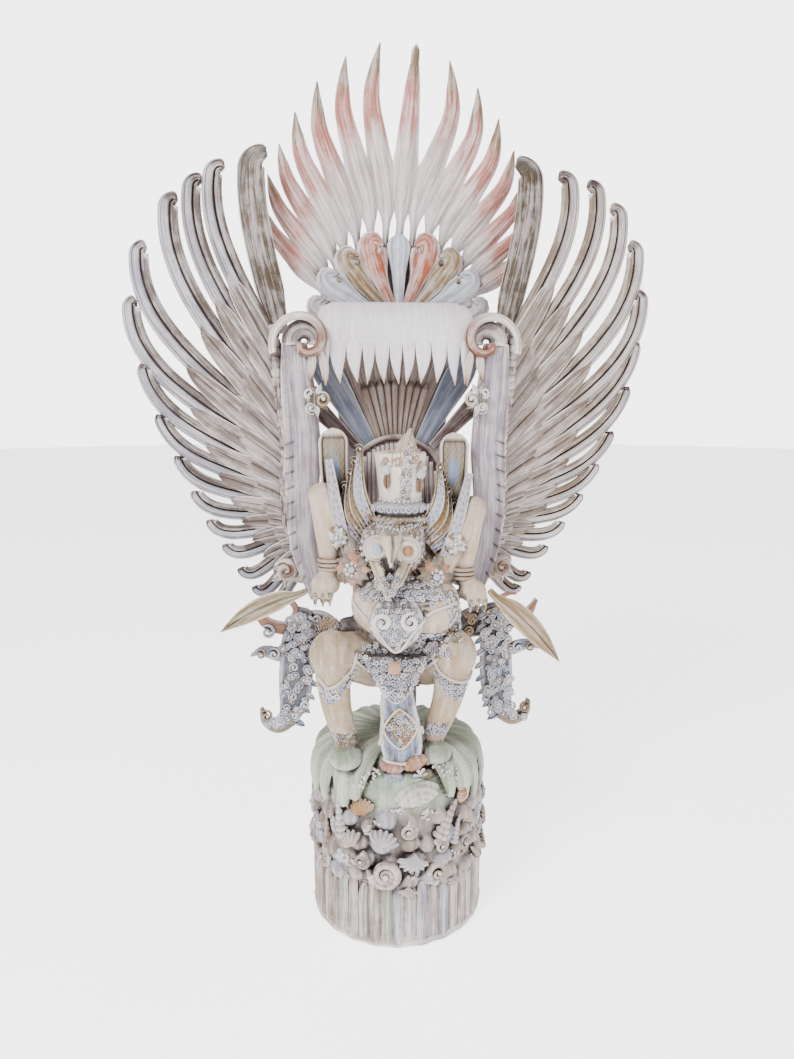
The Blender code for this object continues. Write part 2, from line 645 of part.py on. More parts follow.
def inner_tail():
    """The feathered sheet that rolls into the fringed hood, and the mortise of its tenon."""
    line = hood_line()
    across = Vector((1, 0, 0))
    widening = SHEET_WIDENING + [1] * (len(line) - len(SHEET_WIDENING))
    halves = [(INNER_FOOT_WIDTH + (HOOD_WIDTH - INNER_FOOT_WIDTH) * n) / 2 for n in widening]
    shapes = [blade(line, halves, [HOOD_WALL / 2] * len(line), sides=4, across=across)]
    lip = line[-1]
    pitch = HOOD_WIDTH / FRINGE_COUNT
    for n in range(FRINGE_COUNT):
        x = -HOOD_WIDTH / 2 + pitch * (n + 0.5)
        top = Vector((x, lip.y, lip.z + FRINGE_ROOT))
        points = [top, top - Vector((0, 0, FRINGE_LENGTH * 0.6)), top - Vector((0, 0, FRINGE_LENGTH))]
        widths = [pitch * share for share in (0.48, 0.38, 0.05)]
        shapes.append(blade(points, widths, [HOOD_WALL / 2] * 3, sides=4, across=across))
    disc_centre = Vector((0, line[1].y - DISC_FORWARD, BLOCK_HIGH + DISC_RISE))
    shapes.append(ball(disc_centre, (DISC_RADIUS, DISC_THICKNESS / 2, DISC_RADIUS), segments=20, rings=6))
    wide = INNER_FEATHER_REACH * math.radians(INNER_FEATHER_PITCH) / 2
    for n in range(INNER_FEATHER_COUNT):
        fan = math.radians((n - (INNER_FEATHER_COUNT - 1) / 2) * INNER_FEATHER_PITCH)
        away = Vector((math.sin(fan), 0, math.cos(fan)))
        root = disc_centre + away * DISC_RADIUS * 0.62 + Vector((0, DISC_FORWARD * 0.4, 0))
        tip = disc_centre + away * INNER_FEATHER_REACH + Vector((0, DISC_FORWARD * 1.4, 0))
        widths = [wide * share for share in (0.62, 0.94, 0.41)]
        shapes.append(blade([root, root.lerp(tip, 0.9), tip], widths, [INNER_FEATHER_DEPTH] * 3, sides=4))
    foot_y, foot_z = line[0].y, BLOCK_HIGH + SEAM
    half_foot = Vector((INNER_FOOT_WIDTH / 2, HOOD_WALL / 2, 0)) * FOOT_SHARE
    foot_top = Vector((0, foot_y, foot_z + 3 * FOOT_RELIEF)) + half_foot
    foot = block(Vector((0, foot_y, foot_z)) - half_foot, foot_top)
    size = HOOD_TENON
    tenon = block(
        (-size.x / 2, foot_y - size.y / 2, foot_z - size.z),
        (size.x / 2, foot_y + size.y / 2, foot_z + size.z / 2),
    )
    room = size + Vector((2, 2, 2)) * PEG_CLEARANCE
    mortise = block(
        (-room.x / 2, foot_y - room.y / 2, foot_z - room.z),
        (room.x / 2, foot_y + room.y / 2, foot_z + room.z),
    )
    return carved("inner_tail", shapes, [foot, tenon], "hood_wood", HOOD_GRAIN, HOOD_FACES_KEPT), mortise


# The figure, in hundredths of its own height, from the top of the rock base


def at(x, y, z):
    """A point of the figure."""
    return Vector((x, y, z)) * FIGURE_HEIGHT / 100 + Vector((0, 0, BASE_HEIGHT))


def share(*lengths):
    """Lengths of the figure."""
    return [n * FIGURE_HEIGHT / 100 for n in lengths]


def body():
    """Pelvis, belly, chest and neck."""
    shapes = [
        ball(at(1.4, -3, 31), share(16.5, 13, 11)),
        ball(at(0.5, -6, 42), share(14, 13, 14)),
        ball(at(1.6, -12, 47.5), share(16.2, 12.6, 10.2), segments=18, rings=12),
        ball(at(-0.5, -4, 58), share(15.5, 9.5, 8)),
        ball(at(-2.0, -9, 60), share(9, 9, 8)),
    ]
    return shapes


def leg(side, hip, knee, shin, ankle):
    """A thigh that rises to the knee, and the lower leg down to the rock."""
    shapes = limb([at(*hip), at(*knee)], share(9.0, 6.4))
    shapes.append(ball(at(*knee), share(6.7, 6.9, 7.0)))
    shapes += limb([at(*knee), at(*shin), at(*ankle)], share(6.0, 4.4, 3.6))
    shapes.append(ball(at(shin[0], shin[1], shin[2] + 5.3), share(6.3, 6.0, 2.6), turn=side * 18))
    shapes.append(ball(at(ankle[0], ankle[1], ankle[2] - 1), share(4.6, 4.8, 2.2), turn=side * 8))
    shapes.append(ball(at(ankle[0], ankle[1] - 4, ankle[2] - 4.5), share(4.6, 8.0, 3.0)))
    return shapes


def arm(side, shoulder, elbow, wrist, hand):
    """An upper arm that rises to the elbow, and a forearm down to the hand."""
    shapes = limb([at(*shoulder), at(*elbow)], share(4.3, 2.7))
    shapes += limb([at(*elbow), at(*wrist)], share(2.7, 2.1))
    shapes.append(ball(at(*wrist), share(2.9, 2.9, 1.4)))
    shapes.append(ball(at(*hand), share(3.5, 3.9, 3.4)))
    for n in (-1, 1):
        knuckle = Vector(hand) + Vector((side * 0.8 + n * 2.0, -2.4, -1.0))
        tip = knuckle + Vector((side * 0.4, -1.2, -4.2))
        shapes += limb([at(*knuckle), at(*tip)], share(1.25, 0.8), sides=8)
    return shapes


def head():
    """The head with round eyes, hooked beak, ear rosettes, high crown and the mane boards."""
    shapes = [
        ball(at(-2.4, -12, 66), share(10.5, 11, 10.5)),
        ball(at(-7.9, -21.4, 67.2), share(3.3, 3.3, 3.3)),
        ball(at(1.3, -21.4, 66.4), share(3.3, 3.3, 3.3)),
        ball(at(-14.4, -14.5, 60.2), share(4.6, 2.6, 4.6)),
        ball(at(9.4, -14.5, 57.6), share(4.8, 2.6, 4.8)),
        ball(at(-3.4, -13, 55), share(6.6, 9, 5)),
    ]
    shapes += limb([at(-3.6, -19, 69), at(-4.0, -26, 67.2), at(-4.6, -29.6, 62.6)], share(3.6, 2.9, 1.0))
    shapes += limb([at(-4.0, -18, 60), at(-4.8, -26.8, 54.6)], share(3.2, 1.1))
    crown = bmesh.new()
    bmesh.ops.create_cone(crown, cap_ends=True, segments=20, radius1=1, radius2=1.22, depth=1)
    size = Matrix.Diagonal((*share(6.4, 6.4, 20), 1))
    bmesh.ops.transform(crown, matrix=Matrix.Translation(at(0.2, -8.6, 84.2)) @ size, verts=crown.verts)
    shapes.append(crown)
    shapes.append(ball(at(0.0, -9.4, 78.0), share(8.6, 8.4, 2.2), segments=18))
    shapes.append(ball(at(-0.4, -9.8, 73.5), share(9.4, 9.2, 2.6), segments=18))
    crest = [at(0.6, -15.0, 80), at(1.9, -13.5, 93), at(2.8, -10.6, 99.4)]
    shapes += limb(crest, share(1.9, 1.7, 0.8), sides=8)
    for n, x in ((0, -4.2), (1, 5.0)):
        shapes.append(ball(at(x, -15.4 + n * 0.3, 88.6), share(1.9, 1.6, 3.2)))
    for side, foot, top in ((-1, (-11, -9, 68), (-18.2, -4.6, 87)), (1, (8, -9, 66), (18.6, -4.6, 82))):
        middle = (Vector(foot) + Vector(top)) / 2 + Vector((side * 0.6, -1.5, -1))
        shapes += limb([at(*foot), at(*middle), at(*top)], share(4.0, 4.0, 1.6), flat=0.55)
        board_x = -20.0 if side < 0 else 17.8
        board = [at(board_x * 0.82, -1.0, 66), at(board_x * 0.95, -0.4, 82), at(board_x * 0.97, 0, 96.8)]
        shapes += limb(board, share(3.6, 3.9, 3.9), flat=0.4)
    return shapes


def clothes():
    """Breast ornament, belt, apron, loincloth and side sash."""
    shapes = []
    for x, y, z, wide in ((-6.6, -23.4, 43.6, 4.2), (1.6, -24.2, 43.6, 4.2), (-3.4, -25.0, 41.6, 3.6)):
        shapes.append(ball(at(x, y, z), share(wide, 1.8, 4.2)))
    shapes.append(ball(at(-1.2, -17.6, 31.5), share(12.0, 5.2, 6.0)))
    line = [at(-2.2, -19.6, 31), at(-2.4, -22.4, 26), at(-2.4, -23.4, 21)]
    shapes.append(blade(line, share(9.5, 6.5, 1.2), share(3.0, 2.4, 1.6), sides=8))
    line = [at(-2.0, -18.5, 26), at(-1.0, -19.6, 14), at(-0.4, -21.4, 4), at(-0.4, -22.6, -1.5)]
    shapes.append(blade(line, share(5.2, 6.2, 7.2, 6.2), share(2.2, 2.2, 2.4, 2.4), sides=8))
    line = [at(14.4, -13.6, 51), at(15.0, -15.6, 45), at(13.4, -16.6, 38), at(9, -17, 33)]
    shapes.append(blade(line, share(2.6, 3.0, 3.0, 3.4), share(1.6, 1.6, 1.8, 2.0), sides=8))
    return shapes


DRAPES = [(-22, -3, -1), (-20, -14, 1), (-13, -22, 0), (12, -22, 0), (20, -14, 0), (23, -3, -2)]
DRAPES += [(-20, 10, -2), (20, 10, -2)]
# Each row of shells: its height in shares of the rock's, how many, their radius in shares of the base's,
# and where the row starts and where its wave starts
SHELL_ROWS = [(0.150, 13, 0.185, 0.0, 5.7), (0.344, 12, 0.198, 0.5, 7.4), (0.546, 11, 0.173, 0.2, 9.3)]


def rock():
    """The rock above its fluted foot: folds of cloth over the top, and shells and swirls round the side."""
    low, high = FOOT_BAND_HEIGHT, BASE_HEIGHT
    tall = high - low
    core = bmesh.new()
    radii = {"radius1": BASE_RADIUS * 0.94, "radius2": BASE_RADIUS * 0.877}
    bmesh.ops.create_cone(core, cap_ends=True, segments=32, depth=tall, **radii)
    bmesh.ops.translate(core, vec=(0, 0, low + tall * 0.412), verts=core.verts)
    dome = (BASE_RADIUS * 0.79, BASE_RADIUS * 0.79, tall * 0.22)
    shapes = [core, ball((0, 0, high - tall * 0.053), dome, segments=24, rings=10)]
    for x, y, z in DRAPES:
        away = Vector((x, y, 0)).normalized() * BASE_RADIUS
        top = at(x * 0.62, y * 0.62, z + 5.2)
        side_point = away * 0.883 + Vector((0, 0, high - tall * 0.264))
        foot = away * 0.92 + Vector((0, 0, high - tall * 0.507))
        shapes += limb([top, side_point, foot], [BASE_RADIUS * n for n in (0.16, 0.185, 0.086)], sides=10)
    for height, count, radius, shift, phase in SHELL_ROWS:
        for n in range(count):
            a = 2 * math.pi * (n + shift) / count
            z = low + tall * (height + 0.044 * math.sin(2.6 * n + phase))
            wide = radius * (0.92 + 0.16 * math.sin(3.1 * n))
            radii = [BASE_RADIUS * size for size in (wide, 0.16, radius * 0.86)]
            bm = ball((0, 0, 0), radii, segments=12, rings=8)
            place = Vector((math.cos(a), math.sin(a), 0)) * BASE_RADIUS * 0.852 + Vector((0, 0, z))
            turn = Matrix.Translation(place) @ Matrix.Rotation(a + math.pi / 2, 4, "Z")
            bmesh.ops.transform(bm, matrix=turn, verts=bm.verts)
            shapes.append(bm)
    return shapes


def foot_drum():
    """The fluted foot: planks side by side round the trunk, with a lip below and above."""
    bm = bmesh.new()
    sizes = {"radius1": 1, "radius2": 1, "depth": FOOT_BAND_HEIGHT}
    bmesh.ops.create_cone(bm, cap_ends=True, segments=2 * PLANK_COUNT, **sizes)
    for v in bm.verts:
        index = round(math.atan2(v.co.y, v.co.x) / (math.pi / PLANK_COUNT))
        radius = BASE_RADIUS - PLANK_GROOVE * (index % 2)
        v.co.x, v.co.y, v.co.z = v.co.x * radius, v.co.y * radius, v.co.z + FOOT_BAND_HEIGHT / 2
    return bm


RIGHT_GRIP = at(-24.2, -15.1, 53.4)
LEFT_GRIP = at(23.5, -11.9, 51.3)
BACK_INSET = 0.010


def figure_on_base(mortises):
    """The trunk: figure, rock, fluted foot and the block behind the shoulders."""
    shapes = body() + head() + clothes() + rock()
    shapes += leg(-1, (-8, -5, 28), (-21.2, -17.2, 34), (-20.2, -17.6, 19), (-17.4, -15.4, 6))
    shapes += leg(1, (9, -5, 28), (16.2, -17.2, 33), (14.2, -17.0, 19), (10.4, -14.0, 6))
    shapes += arm(-1, (-12, -8, 57), (-24.4, -6.0, 81.6), (-21.6, -11.6, 61.5), (-22.8, -13.8, 56.4))
    shapes += arm(1, (12, -8, 55), (23.8, -6.0, 77.0), (19.6, -9.6, 57.0), (22.4, -11.4, 52.6))
    back_low = (-BLOCK_WIDTH / 2 + BACK_INSET, at(0, -5.2, 0).y, BLOCK_LOW - 2 * BACK_INSET)
    back_high = (BLOCK_WIDTH / 2 - BACK_INSET, BLOCK_BACK - BACK_INSET, BLOCK_HIGH - BACK_INSET)
    shapes.append(block(back_low, back_high))
    shapes.append(block(at(-4.5, -3.5, -5.2), at(6.3, 7.9, 34.2)))
    hips = block_at((0, HIP_BOSS_Y, HIP_BOSS_Z), (HIP_BOSS_WIDTH, HIP_BOSS_DEPTH, HIP_BOSS_HEIGHT))
    shoulders = block(
        (-BLOCK_WIDTH / 2, BLOCK_FRONT, BLOCK_LOW),
        (BLOCK_WIDTH / 2, BLOCK_BACK, BLOCK_HIGH),
    )
    grips = [block_at(grip, GRIP_SIZE) for grip in (RIGHT_GRIP, LEFT_GRIP)]
    fittings = [foot_drum(), hips, shoulders] + grips
    trunk = carved("figure_on_base", shapes, fittings, "trunk_wood", TRUNK_GRAIN, TRUNK_FACES_KEPT)
    for n, mortise in enumerate(mortises):
        cut(trunk, mortise, f"mortise_{n}")
    return trunk


# Hip ornaments, in hundredths of their own height from the hip boss: out, back and up, with half widths

ORNAMENT_STROKES = {
    "stem": ([(1.2, 0, 0), (16.8, -0.8, 6), (28, -1.6, 2.4)], [7.2, 7.6, 7.2], 5.6),
    "sash": (
        [(25.6, -5.6, 20), (30.4, -5.6, 0), (31.6, -6.4, -24), (33.6, -6.4, -48), (39.2, -5.6, -64.8)],
        [5.6, 8.4, 9.6, 8.4, 5.2],
        4.4,
    ),
    "hook": (
        [(36.8, -5.6, -62), (45.6, -5.6, -68), (54.4, -5.6, -63.2), (57.6, -5.6, -55.2)],
        [5.6, 5.2, 4, 2.4],
        3.6,
    ),
    "branch": (
        [(30.4, -5.6, -12), (42.8, -4.8, -12), (56, -5.6, -9.2), (64, -5.6, -12.8)],
        [5.6, 5.6, 4.4, 1.2],
        4,
    ),
    "upper": (
        [(28.8, -5.6, 8), (41.6, -4.8, 7.2), (52.8, -5.6, 12), (61.6, -5.6, 24)],
        [5.6, 5.2, 4.4, 2],
        3.6,
    ),
}
ORNAMENT_KNOBS = [(31.6, -31.2, 9.6), (32.8, -12, 8), (42.4, -63.2, 7.2), (51.2, 6, 5.6)]


def hip_ornament(side, name):
    """A scrolled sash end with its branches and hooked tail, and the mortise of its tenon."""
    face = HIP_BOSS_WIDTH / 2
    root = Vector((side * (face + SEAM), HIP_BOSS_Y, HIP_BOSS_Z))
    scale = ORNAMENT_HEIGHT / 100

    def from_root(x, y, z):
        return root + Vector((side * x, y, z)) * scale

    shapes = []
    for points, widths, depth in ORNAMENT_STROKES.values():
        line = [from_root(*point) for point in points]
        shapes.append(blade(line, [n * scale for n in widths], [depth * scale] * len(line), sides=6))
    for x, z, radius in ORNAMENT_KNOBS:
        radii = [n * scale for n in (radius, 4.8, radius)]
        shapes.append(ball(from_root(x, -8, z), radii, segments=10, rings=6))
    tenon, mortise = tenon_into(face, HIP_TENON, root.y, root.z, side)
    foot_size = Vector((3 * FOOT_RELIEF, HIP_TENON.y * 1.1, HIP_TENON.z * 1.1))
    fittings = [block_at(root + Vector((side * foot_size.x / 2, 0, 0)), foot_size), tenon]
    kept = ORNAMENT_FACES_KEPT
    return carved(name, shapes, fittings, "ornament_wood", ORNAMENT_GRAIN, kept, inside_of(root)), mortise


LEAF_PLACES = [(0, 0), (0.08, 0), (0.3, 0.7), (0.6, 1), (0.85, 0.5), (1, 0)]


def hand_leaf(side, grip, reach, name):
    """A long leaf plugged into a hand, and the mortise of its tenon. Its places are shares of its reach
    and of its sag."""
    face = abs(grip.x) + GRIP_SIZE.x / 2
    seam = Vector((side * (face + SEAM), grip.y, grip.z))
    root = seam + Vector((side * FOOT_RELIEF / 3, 0, 0))
    chord = grip + reach - root
    line = [root + chord * along + LEAF_SAG * sag for along, sag in LEAF_PLACES]
    shapes = [blade(line, LEAF_HALF_WIDTHS, LEAF_HALF_DEPTHS, sides=6, face=Vector((0, -0.8, 0.6)))]
    tenon, mortise = tenon_into(face, LEAF_TENON, grip.y, grip.z, side)
    return carved(name, shapes, [tenon], "leaf_wood", LEAF_GRAIN, LEAF_FACES_KEPT, inside_of(seam)), mortise


pieces = [
    wing(-1, "right_wing"),
    wing(1, "left_wing"),
    tail_flames(),
    inner_tail(),
    hip_ornament(-1, "right_hip_ornament"),
    hip_ornament(1, "left_hip_ornament"),
    hand_leaf(-1, RIGHT_GRIP, RIGHT_LEAF_REACH, "right_hand_leaf"),
    hand_leaf(1, LEFT_GRIP, LEFT_LEAF_REACH, "left_hand_leaf"),
]
figure_on_base([mortise for piece, mortise in pieces])
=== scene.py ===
# %% [markdown]
# # A carved and painted wooden garuda
#
# The real statue is cut from one tree trunk. Wings, a flame tail and a curled inner tail plug into its
# shoulders, and ornaments and leaves plug into its hips and hands. Everything is carved by hand with
# chisels, painted thinly, and rubbed back, so that edges are pale and grooves are dark.
#
# The solids of the statue come first. They say where each piece sits, and the pieces below replace them.

# %% Load the solids
import math

import bmesh
import bpy
import numpy as np
from mathutils import Matrix, Vector, kdtree
from mathutils.bvhtree import BVHTree


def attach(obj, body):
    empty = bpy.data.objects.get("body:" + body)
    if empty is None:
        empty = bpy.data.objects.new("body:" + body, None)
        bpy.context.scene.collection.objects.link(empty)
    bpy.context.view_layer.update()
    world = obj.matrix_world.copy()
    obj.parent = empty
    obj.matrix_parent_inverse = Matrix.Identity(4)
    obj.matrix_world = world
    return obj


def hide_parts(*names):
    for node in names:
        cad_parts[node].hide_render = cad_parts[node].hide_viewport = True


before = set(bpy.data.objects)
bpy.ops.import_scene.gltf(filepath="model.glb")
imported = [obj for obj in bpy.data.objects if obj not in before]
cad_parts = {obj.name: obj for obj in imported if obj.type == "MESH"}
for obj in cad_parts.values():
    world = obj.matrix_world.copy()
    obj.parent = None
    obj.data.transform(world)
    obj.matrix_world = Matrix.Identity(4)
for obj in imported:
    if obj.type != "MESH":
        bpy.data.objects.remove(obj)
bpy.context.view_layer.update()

print("nodes:", ", ".join(sorted(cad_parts)))

# %% [markdown]
# ## Smooth values and lines
#
# Carved shapes flow. A width, a height or a path is therefore written as a few knots, and a smooth curve
# runs through them. A Hermite curve whose slopes come from the neighbouring knots does that, and NumPy
# works out all the values at once.

# %% Curves through knots
FRONT = np.array((0.0, -1.0, 0.0))
UP = np.array((0.0, 0.0, 1.0))


def through(knots, t):
    """Smooth values at t through (place, value) knots. A value may be a point."""
    places = np.array([knot[0] for knot in knots], float)
    values = np.array([knot[1] for knot in knots], float)
    t = np.asarray(t, float)
    last = len(places) - 1
    i = np.clip(np.searchsorted(places, t, side="right") - 1, 0, last - 1)
    span = places[i + 1] - places[i]
    u = (t - places[i]) / span

    def slope(j):
        low, high = np.maximum(j - 1, 0), np.minimum(j + 1, last)
        ratio = span / (places[high] - places[low])
        return (values[high] - values[low]) * (ratio[..., None] if values.ndim == 2 else ratio)

    if values.ndim == 2:
        u = u[..., None]
    rise = 3 * u**2 - 2 * u**3
    start, end = u**3 - 2 * u**2 + u, u**3 - u**2
    return values[i] * (1 - rise) + slope(i) * start + values[i + 1] * rise + slope(i + 1) * end


def smooth_line(points, count):
    """count points along a smooth curve through the given points, spread by their distances."""
    points = np.array(points, float)
    places = np.concatenate([[0], np.cumsum(np.linalg.norm(np.diff(points, axis=0), axis=1))])
    return through(list(zip(places, points)), np.linspace(0, places[-1], count))


def ease(low, high, x):
    """0 below low, 1 above high, and a soft step between."""
    u = np.clip((np.asarray(x, float) - low) / (high - low), 0, 1)
    return u * u * (3 - 2 * u)


def bell(x, centre, width):
    """1 at the centre, falling to nothing within about two widths."""
    return np.exp(-(((np.asarray(x, float) - centre) / width) ** 2))


# %% [markdown]
# ## Paint
#
# Every point of a carved piece remembers the colour it was painted with. Colours are written as the eye
# reads them and changed to linear light once, here. A small palette holds the worn tones that come back
# all over the statue.

# %% The palette
DEPTH_OF_PAINT = 1.80  # the studio's bright lamps wash the paint out by this much
PURITY_OF_PAINT = 1.40  # and dull it by this much


def light(*colour):
    """A colour as the eye reads it, 0 to 1, in linear light."""
    colour = np.array(colour, float)
    linear = np.where(colour <= 0.04045, colour / 12.92, ((colour + 0.055) / 1.055) ** 2.4)
    brightness = linear @ (0.21, 0.72, 0.07)
    return linear ** PURITY_OF_PAINT * brightness ** (DEPTH_OF_PAINT - PURITY_OF_PAINT)


def mixed(a, b, share):
    """A blend of two colours, with a share for every point."""
    share = np.asarray(share, float)[..., None]
    return np.asarray(a) * (1 - share) + np.asarray(b) * share


LAVENDER = light(0.79, 0.77, 0.81)
PALE = light(0.88, 0.86, 0.87)
UMBER = light(0.44, 0.36, 0.33)
MAROON = light(0.47, 0.33, 0.33)
GOLD = light(0.66, 0.56, 0.38)
OLD_GOLD = light(0.52, 0.44, 0.32)
CORAL = light(0.82, 0.54, 0.47)
BLUE = light(0.62, 0.67, 0.77)
SILVER = light(0.76, 0.78, 0.83)
MINT = light(0.74, 0.79, 0.71)
SKIN = light(0.83, 0.76, 0.68)
ORANGE = light(0.80, 0.56, 0.38)

# %% [markdown]
# ## Slats, balls and tubes
#
# Nearly every carving here is a slat: a long piece with a shaped front that bends along a path, such as a
# feather, a flame or a leaf. It starts as a closed cone from bmesh with as many sides as its section has
# points, cut into rings, and each ring is then moved to its place. The cut cone is made once for each
# number of sides and rings and used again as a template, which keeps hundreds of feathers quick.

# %% Templates
templates = {}


def slat_template(sides, rings):
    """A closed cone cut into rings, with the side and the ring of each of its points."""
    key = (sides, rings)
    if key not in templates:
        bm = bmesh.new()
        bmesh.ops.create_cone(bm, cap_ends=True, segments=sides, radius1=1, radius2=1, depth=1)
        along = [e for e in bm.edges if abs(e.verts[0].co.z - e.verts[1].co.z) > 0.5]
        bmesh.ops.subdivide_edges(bm, edges=along, cuts=rings - 2)
        mesh = bpy.data.meshes.new(f"slat_{sides}_{rings}")
        bm.to_mesh(mesh)
        bm.free()
        co = points_of(mesh)
        ring = np.rint((co[:, 2] + 0.5) * (rings - 1)).astype(int)
        side = np.rint(np.arctan2(co[:, 0], co[:, 1]) / (2 * math.pi / sides)).astype(int) % sides
        templates[key] = mesh, side, ring
    return templates[key]


def ball_template(segments, rings):
    """A ball of radius 1."""
    key = ("ball", segments, rings)
    if key not in templates:
        bm = bmesh.new()
        bmesh.ops.create_uvsphere(bm, u_segments=segments, v_segments=rings, radius=1)
        mesh = bpy.data.meshes.new(f"ball_{segments}_{rings}")
        bm.to_mesh(mesh)
        bm.free()
        templates[key] = mesh, points_of(mesh)
    return templates[key]


def points_of(mesh):
    """A mesh's points as an array."""
    co = np.empty(len(mesh.vertices) * 3, np.float32)
    mesh.vertices.foreach_get("co", co)
    return co.reshape(-1, 3).astype(float)


# %% Shapes with a place on them for paint
class Shape:
    """A template moved to its place. s runs across it from -1 to 1, t along it from 0 to 1."""

    def __init__(self, mesh, points, s, t, front, grain):
        self.mesh, self.points, self.s, self.t, self.front, self.grain = mesh, points, s, t, front, grain


def frames(line, face):
    """The direction of a line at each point, and the sideways and forward directions there."""
    line = np.asarray(line, float)
    step = np.gradient(line, axis=0)
    step /= np.linalg.norm(step, axis=1, keepdims=True)
    if face is None:
        wide = [np.cross(step[0], FRONT if abs(step[0] @ FRONT) < 0.9 else UP)]
        for direction in step[1:]:
            wide.append(wide[-1] - direction * (wide[-1] @ direction))
        wide = np.array(wide)
    else:
        wide = np.cross(step, face)
    wide /= np.linalg.norm(wide, axis=1, keepdims=True)
    return step, wide, np.cross(wide, step)


def slat(line, half_widths, front, back, across=15, under=5, face=FRONT, seed=0.0):
    """A slat along a line. front and back give its height and depth in metres at (s, t)."""
    rings = len(line)
    mesh, side, ring = slat_template(across + under - 2, rings)
    middle = (under - 1) // 2
    s_front = np.linspace(1, -1, across)
    s_back = np.linspace(0, 1, middle + 1)[:-1]
    s_loop = np.concatenate([s_back, s_front, -s_back[::-1][: under - 2 - len(s_back)]])
    is_front = np.zeros(len(s_loop), bool)
    is_front[len(s_back) : len(s_back) + across] = True
    s, t, on_front = s_loop[side], ring / (rings - 1), is_front[side]
    step, wide, deep = frames(line, face)
    widths = np.broadcast_to(half_widths, rings)[ring]
    height = np.where(on_front, front(s, t), -np.broadcast_to(back(s, t), s.shape))
    points = np.asarray(line)[ring] + wide[ring] * (s * widths)[:, None] + deep[ring] * height[:, None]
    length = np.concatenate([[0], np.cumsum(np.linalg.norm(np.diff(line, axis=0), axis=1))])
    grain = np.stack([length[ring], s * widths, np.full(len(s), seed)], axis=1)
    return Shape(mesh, points, s, t, on_front, grain)


def tube(line, radii, sides=8, flat=1.0, face=None, seed=0.0):
    """A round bar along a line."""
    rings = len(line)
    mesh, side, ring = slat_template(sides, rings)
    turn = side * 2 * math.pi / sides
    step, wide, deep = frames(line, face)
    radius = np.broadcast_to(radii, rings)[ring]
    out = wide[ring] * np.sin(turn)[:, None] - deep[ring] * (np.cos(turn) * flat)[:, None]
    points = np.asarray(line)[ring] + out * radius[:, None]
    length = np.concatenate([[0], np.cumsum(np.linalg.norm(np.diff(line, axis=0), axis=1))])
    grain = np.stack([length[ring], np.sin(turn) * radius, np.full(len(turn), seed)], axis=1)
    return Shape(mesh, points, np.sin(turn), ring / (rings - 1), np.cos(turn) < 0, grain)


def ball(centre, radii, turn=0.0, axis="Y", segments=16, rings=10, seed=0.0):
    """A ball stretched to its radii, turned by degrees about an axis, and set at its centre."""
    mesh, unit = ball_template(segments, rings)
    rotation = np.array(Matrix.Rotation(math.radians(turn), 3, axis))
    points = (unit * np.broadcast_to(radii, 3)) @ rotation.T + np.asarray(centre)
    grain = np.stack([points[:, 2], points[:, 0], points[:, 1] + seed], axis=1)
    return Shape(mesh, points, unit[:, 0], (unit[:, 2] + 1) / 2, unit[:, 1] < 0, grain)


# %% [markdown]
# ## From shapes to a piece
#
# A piece gathers its shapes with their paint. The crisp ones stay as they are. The body parts of the
# figure are melted together first, with a voxel Remesh, as clay would be, and each new point then takes
# the paint of the nearest old one. Last, each point learns how sharply its surface turns outwards or
# inwards there, because paint wears off edges, and dirt and painted shade darken grooves.

# %% Gathering shapes
class Carving:
    """Shapes side by side, each with its paint and its grain."""

    def __init__(self):
        self.whole = bmesh.new()
        self.points, self.paints, self.grains = [], [], []

    def add(self, shape, paint):
        self.whole.from_mesh(shape.mesh)
        self.points.append(shape.points)
        self.paints.append(np.broadcast_to(paint, shape.points.shape))
        self.grains.append(shape.grain)

    def mesh(self, name):
        made = bpy.data.meshes.new(name)
        self.whole.to_mesh(made)
        self.whole.free()
        made.vertices.foreach_set("co", np.concatenate(self.points).astype(np.float32).ravel())
        made.update()
        give(made, "paint", np.concatenate(self.paints))
        give(made, "grain", np.concatenate(self.grains))
        return made


def give(mesh, name, values):
    """Stores a value for each point of a mesh: a colour, a vector or a number."""
    values = np.asarray(values, np.float32)
    if name == "paint":
        layer = mesh.attributes.new(name, "FLOAT_COLOR", "POINT")
        values = np.concatenate([np.clip(values, 0, 1), np.ones((len(values), 1), np.float32)], axis=1)
        layer.data.foreach_set("color", values.ravel())
    elif values.ndim == 2:
        mesh.attributes.new(name, "FLOAT_VECTOR", "POINT").data.foreach_set("vector", values.ravel())
    else:
        mesh.attributes.new(name, "FLOAT", "POINT").data.foreach_set("value", values)


def melted(carving, name, grain):
    """The carving's shapes melted into one skin, painted from the nearest of its old points."""
    loose = carving.mesh(name + "_loose")
    source = bpy.data.objects.new(name + "_loose", loose)
    bpy.context.collection.objects.link(source)
    remesh = source.modifiers.new("melt", "REMESH")
    remesh.mode = "VOXEL"
    remesh.voxel_size = grain
    melted_source = source.evaluated_get(bpy.context.evaluated_depsgraph_get())
    mesh = bpy.data.meshes.new_from_object(melted_source)
    mesh.name = name
    for layer in [a.name for a in mesh.attributes if a.name in ("paint", "grain")]:
        mesh.attributes.remove(mesh.attributes[layer])
    old, paint, old_grain = points_of(loose), np.concatenate(carving.paints), np.concatenate(carving.grains)
    tree = kdtree.KDTree(len(old))
    for n, point in enumerate(old):
        tree.insert(point, n)
    tree.balance()
    nearest = np.array([tree.find(point)[1] for point in points_of(mesh)])
    give(mesh, "paint", paint[nearest])
    give(mesh, "grain", old_grain[nearest])
    bpy.data.objects.remove(source)
    return mesh


# %% Edges and grooves
def edges_and_normals(mesh):
    """A mesh's edges, and its normals at the points."""
    edges = np.empty(len(mesh.edges) * 2, np.int32)
    mesh.edges.foreach_get("vertices", edges)
    normals = np.empty(len(mesh.vertices) * 3, np.float32)
    mesh.vertex_normals.foreach_get("vector", normals)
    return edges.reshape(-1, 2), normals.reshape(-1, 3).astype(float)


